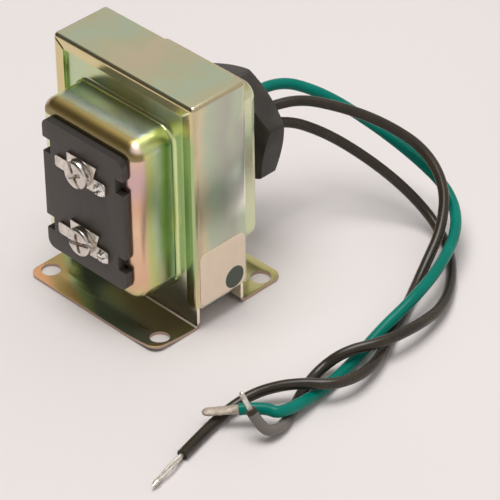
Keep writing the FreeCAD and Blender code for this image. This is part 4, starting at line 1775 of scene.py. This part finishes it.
@dataclass
class SplitEyelet:
    """Eyelet whose rolled end has split into petals, filled with solder."""

    node: str
    fill: float
    petals: int = 6
    reach: float = 2.05 * MM
    rise: float = 1.0 * MM
    least_rise: float = 0.05 * MM
    crest: float = 0.45
    split: float = 0.16
    split_wander: float = 2.0
    rag: float = 0.10
    rag_scale: float = 2.2
    petal_lift: float = 0.18
    lump: float = 0.30
    lump_scale: float = 2.5
    lump_shift: Point = (0.0, 0.0, 5.0)
    seed_scale: float = 900.0
    seed_shift: Point = (0.0, 3.0, 1.0)
    barrel: float = 1.05 * MM
    flare: float = 1.5
    roll: float = 1.6
    roll_from: float = 0.8
    roll_at: float = 0.86
    seat: float = 0.45 * MM
    rings: int = 26
    segments: int = 112
    sharp: float = 50.0

    def petal_loop(self, share: float, seed: Vector) -> Loop:
        """Points of a ragged ring of the split end.

        Args:
            share: Share of the way out from the axis.
            seed: Where this eyelet reads its noise.

        Returns:
            The ring.
        """
        fall = math.cos(HALF * math.pi * max(0.0, share - self.crest) / (1.0 - self.crest))
        hill = self.rise * min(1.0, self.fill + share / self.crest) * fall
        loop = []
        for angle in around(self.segments):
            heading = oval(1.0, 1.0, angle, 0.0)
            rough = noise.noise(seed + heading * self.rag_scale)
            lump = noise.noise(seed + heading * (self.lump_scale * share) + Vector(self.lump_shift))
            valley = HALF - HALF * math.cos(self.petals * angle + self.split_wander * rough)
            out = self.reach * share * (1.0 - self.split * valley + self.rag * rough)
            level = hill * (1.0 - self.petal_lift * valley + self.lump * lump)
            loop.append(oval(out, out, angle, max(level, self.least_rise)))
        return loop

    def build(self) -> bpy.types.Object:
        """Make the eyelet.

        Returns:
            The piece.
        """
        low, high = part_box(self.node)
        middle = (low + high) / 2
        depth = high.y - low.y
        seed = Vector((middle.z * self.seed_scale, 0.0, 0.0)) + Vector(self.seed_shift)
        rings = [self.petal_loop((step + 1) / self.rings, seed) for step in range(self.rings)]
        tube = [
            (self.barrel * self.flare, 0.0),
            (self.barrel, 0.0),
            (self.barrel, -depth * self.roll_from),
            (self.barrel * self.roll, -depth * self.roll_at),
            (self.barrel * self.flare, -depth),
        ]
        made = bmesh.new()
        Workshop.loft(made, rings + [ring(out, level, self.segments) for out, level in tube])
        made.transform(Matrix.Translation((middle.x, low.y + self.seat, middle.z)) @ TO_FRONT)
        piece = Workshop.from_bmesh(f"{self.node}_petals", made, self.sharp)
        BrightTin().dress(piece)
        return Workshop.stand_for(piece, self.node)


@dataclass
class Terminals:
    """Terminal board with its plates, screws and eyelets."""

    board_edge: float = 0.14 * MM
    metal_edge: float = 0.10 * MM
    screw_turns: dict[str, float] = field(default_factory=lambda: {"upper": 2.05, "lower": 0.23})
    eyelet_fills: dict[str, float] = field(default_factory=lambda: {"upper": 0.05, "lower": 0.85})

    def build(self) -> list[bpy.types.Object]:
        """Make the board and what it carries.

        Returns:
            The pieces.
        """
        board = Workshop.bevelled_copy("terminal_panel", "terminal_board", self.board_edge)
        Phenolic().dress(board)
        made = [board]
        for level, turn in self.screw_turns.items():
            node = f"{level}_terminal_plate"
            plate = Workshop.bevelled_copy(f"{level}_contact_plate", node, self.metal_edge)
            NickelPlate().dress(plate)
            screw = ScrewHead(f"{level}_terminal_screw", turn).build()
            eyelet = SplitEyelet(f"{level}_terminal_eyelet", self.eyelet_fills[level]).build()
            made += [plate, screw, eyelet]
        return made


@dataclass
class ConduitFitting:
    """Threaded hub and locknut at the rear."""

    nut_edge: float = 0.25 * MM
    crest: float = 10.4 * MM
    bore: float = 6.5 * MM
    pitch: float = 1.8 * MM
    thread: float = 0.75 * MM
    inner_flange: float = 1.6 * MM
    neck_gap: float = 0.2 * MM
    wall_place: float = 20.85 * MM
    collar: float = 0.9 * MM
    collar_length: float = 2.0 * MM
    runout: float = 0.1 * MM
    end_gap: float = 0.4 * MM
    end_chamfer: float = 1.1 * MM
    mouth: float = 0.5 * MM
    mouth_depth: float = 0.6 * MM
    rings_per_turn: int = 10
    segments: int = 96
    sharp: float = 30.0

    def threaded_loop(self, level: float) -> Loop:
        """Points of a ring that dips where the thread does.

        Args:
            level: Place along the hub.

        Returns:
            The ring.
        """
        loop = []
        for angle in around(self.segments):
            out = self.crest - self.thread * thread_dip(angle, level, self.pitch)
            loop.append(oval(out, out, angle, level))
        return loop

    def build_hub(self) -> bpy.types.Object:
        """Turn the hub with its thread.

        Returns:
            The piece.
        """
        low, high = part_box("conduit_hub")
        middle = (low + high) / 2
        length = high.y - low.y
        seat = self.wall_place - low.y
        flange = (high.x - low.x) / 2
        neck = self.crest - self.neck_gap
        inner = [
            (self.bore, 0.0),
            (flange, 0.0),
            (flange, self.inner_flange),
            (neck, self.inner_flange),
            (neck, seat),
            (self.crest + self.collar, seat),
            (self.crest - self.runout, seat + self.collar_length),
        ]
        outer = [
            (self.crest - self.end_chamfer, length),
            (self.bore + self.mouth, length),
            (self.bore, length - self.mouth_depth),
            (self.bore, 0.0),
        ]
        start = seat + self.collar_length + self.runout
        run = length - self.end_gap - start
        count = int((length - start) / self.pitch * self.rings_per_turn)
        rings = [ring(out, level, self.segments) for out, level in inner]
        rings += [self.threaded_loop(start + run * step / count) for step in range(count + 1)]
        rings += [ring(out, level, self.segments) for out, level in outer]
        made = bmesh.new()
        Workshop.loft(made, rings, capped=False)
        bmesh.ops.remove_doubles(made, verts=made.verts, dist=Workshop.weld)
        made.transform(Matrix.Translation((middle.x, low.y, middle.z)) @ TO_REAR)
        piece = Workshop.from_bmesh("threaded_hub", made, self.sharp)
        HubMetal().dress(piece)
        return Workshop.stand_for(piece, "conduit_hub")

    def build(self) -> list[bpy.types.Object]:
        """Make the nut and the hub.

        Returns:
            The pieces.
        """
        nut = Workshop.bevelled_copy("hub_locknut", "conduit_nut", self.nut_edge)
        BlackOxide().dress(nut)
        return [nut, self.build_hub()]


@dataclass
class SideLabel:
    """Blank sticker on the right side."""

    edge: float = 0.02 * MM

    def build(self) -> list[bpy.types.Object]:
        """Dress the sticker.

        Returns:
            The piece.
        """
        piece = Workshop.bevelled_copy("side_sticker", "blank_label", self.edge)
        LabelPaper().dress(piece)
        return [piece]


@dataclass
class Inside:
    """Core, coil and ground bond, which stay as the solids are."""

    finishes: dict[str, Finish] = field(default_factory=lambda: {
        "e_core_stack": CoreSteel(),
        "i_core_stack": CoreSteel(),
        "bobbin": Nylon(),
        "primary_winding": CopperWire(),
        "secondary_winding": CopperWire(),
        "layer_wrap": CoilPaper(),
        "outer_wrap": CoilPaper(),
        "heat_fuse": FuseCan(),
        "upper_tap_wire": CopperWire(),
        "lower_tap_wire": CopperWire(),
        "ground_lug": NickelPlate(),
        "ground_rivet": NickelPlate(),
    })

    def build(self) -> list[bpy.types.Object]:
        """Dress the nodes.

        Returns:
            The nodes.
        """
        made = []
        for node, finish in self.finishes.items():
            finish.dress(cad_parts[node])
            made.append(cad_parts[node])
        return made


@dataclass
class Studio:
    """Camera at the photograph's angle, pale floor and soft light.

    The camera's distances are in millimetres, and those of the lights and the floor in metres.
    """

    azimuth: float = 45.72
    elevation: float = 36.53
    roll: float = -0.72
    distance: float = 773.2
    target: Point = (0.0, 0.0, 35.0)
    right_shift: float = 24.61
    up_shift: float = -21.45
    focal_share: float = 6.1704
    sensor: float = 36.0
    nearest: float = 0.01
    farthest: float = 20.0
    floor_reach: float = 2.5
    light_size: float = 0.75
    light_power: float = 13.0
    light_colour: Colour = (1.0, 0.985, 0.97)
    mirrored_spot: Point = (0.0, 0.12, 1.30)
    dull_spot: Point = (0.0, -0.20, 1.29)
    tent: Colour = (1.0, 0.97, 0.955)
    tent_strength: float = 0.62
    opening: Point = (-0.60, -0.76, 0.25)
    opening_reach: Span = (0.30, 0.80)
    opening_colour: Colour = (0.13, 0.12, 0.11)

    def axes(self) -> tuple[Vector, Vector, Vector]:
        """Find the camera's axes.

        Returns:
            Its right, up and backward directions.
        """
        turn, lift, roll = (math.radians(angle) for angle in (self.azimuth, self.elevation, self.roll))
        back = Vector((math.sin(turn) * math.cos(lift), -math.cos(turn) * math.cos(lift), math.sin(lift)))
        level = (-back).cross(Vector((0.0, 0.0, 1.0))).normalized()
        upright = level.cross(-back)
        right = level * math.cos(roll) + upright * math.sin(roll)
        up = upright * math.cos(roll) - level * math.sin(roll)
        return right, up, back

    def add_camera(self) -> None:
        """Stand the camera where the photograph was taken."""
        right, up, back = self.axes()
        lens = bpy.data.cameras.new("camera")
        lens.sensor_fit = "HORIZONTAL"
        lens.sensor_width = self.sensor
        lens.lens = self.focal_share * self.sensor
        lens.clip_start = self.nearest
        lens.clip_end = self.farthest
        camera = Workshop.link("camera", lens)
        spot = Vector(self.target) + back * self.distance + right * self.right_shift + up * self.up_shift
        turn = Matrix((right, up, back)).transposed().to_4x4()
        camera.matrix_world = Matrix.Translation(spot * MM) @ turn
        bpy.context.scene.camera = camera

    def add_floor(self) -> None:
        """Lay the pale sweep."""
        made = bmesh.new()
        bmesh.ops.create_grid(made, x_segments=2, y_segments=2, size=self.floor_reach)
        floor = Workshop.from_bmesh("floor", made)
        PaleFloor().dress(floor)

    def add_light(self, name: str, spot: Point, mirrored: bool) -> None:
        """Hang a square soft light that faces the object.

        Args:
            name: The light's name.
            spot: Where it hangs.
            mirrored: Whether it shows only in reflections, or else lights only dull surfaces.
        """
        lamp = bpy.data.lights.new(name, "AREA")
        lamp.shape = "SQUARE"
        lamp.size = self.light_size
        lamp.energy = self.light_power
        lamp.color = self.light_colour
        holder = Workshop.link(name, lamp)
        holder.visible_glossy = mirrored
        holder.visible_diffuse = not mirrored
        aim = Vector(self.target) * MM - Vector(spot)
        holder.matrix_world = Matrix.Translation(spot) @ aim.to_track_quat("-Z", "Y").to_matrix().to_4x4()

    def add_lights(self) -> None:
        """Hang the two lights in a pale tent that is open and dim at the front left."""
        self.add_light("overhead", self.mirrored_spot, True)
        self.add_light("front_left", self.dull_spot, False)
        room = Shader(bpy.data.worlds.new("room"))
        dim = room.along(room.direction(), self.opening).step(*self.opening_reach)
        colour = room.mix(dim, self.tent, self.opening_colour)
        bpy.context.scene.world = room.sky(colour, self.tent_strength)

    def build(self) -> None:
        """Set up the whole studio."""
        self.add_camera()
        self.add_floor()
        self.add_lights()
        bpy.context.scene.view_settings.view_transform = "Standard"


def main() -> None:
    """Build the studio and every sub-assembly, and report each piece."""
    logging.basicConfig(level=logging.INFO, format="%(name)s: %(message)s")
    Studio().build()
    assemblies = [Wiring(), Case(), Terminals(), ConduitFitting(), SideLabel(), Inside()]
    for assembly in assemblies:
        for piece in assembly.build():
            log.info("%s made %s", type(assembly).__name__, piece.name)


if __name__ == "__main__":
    main()
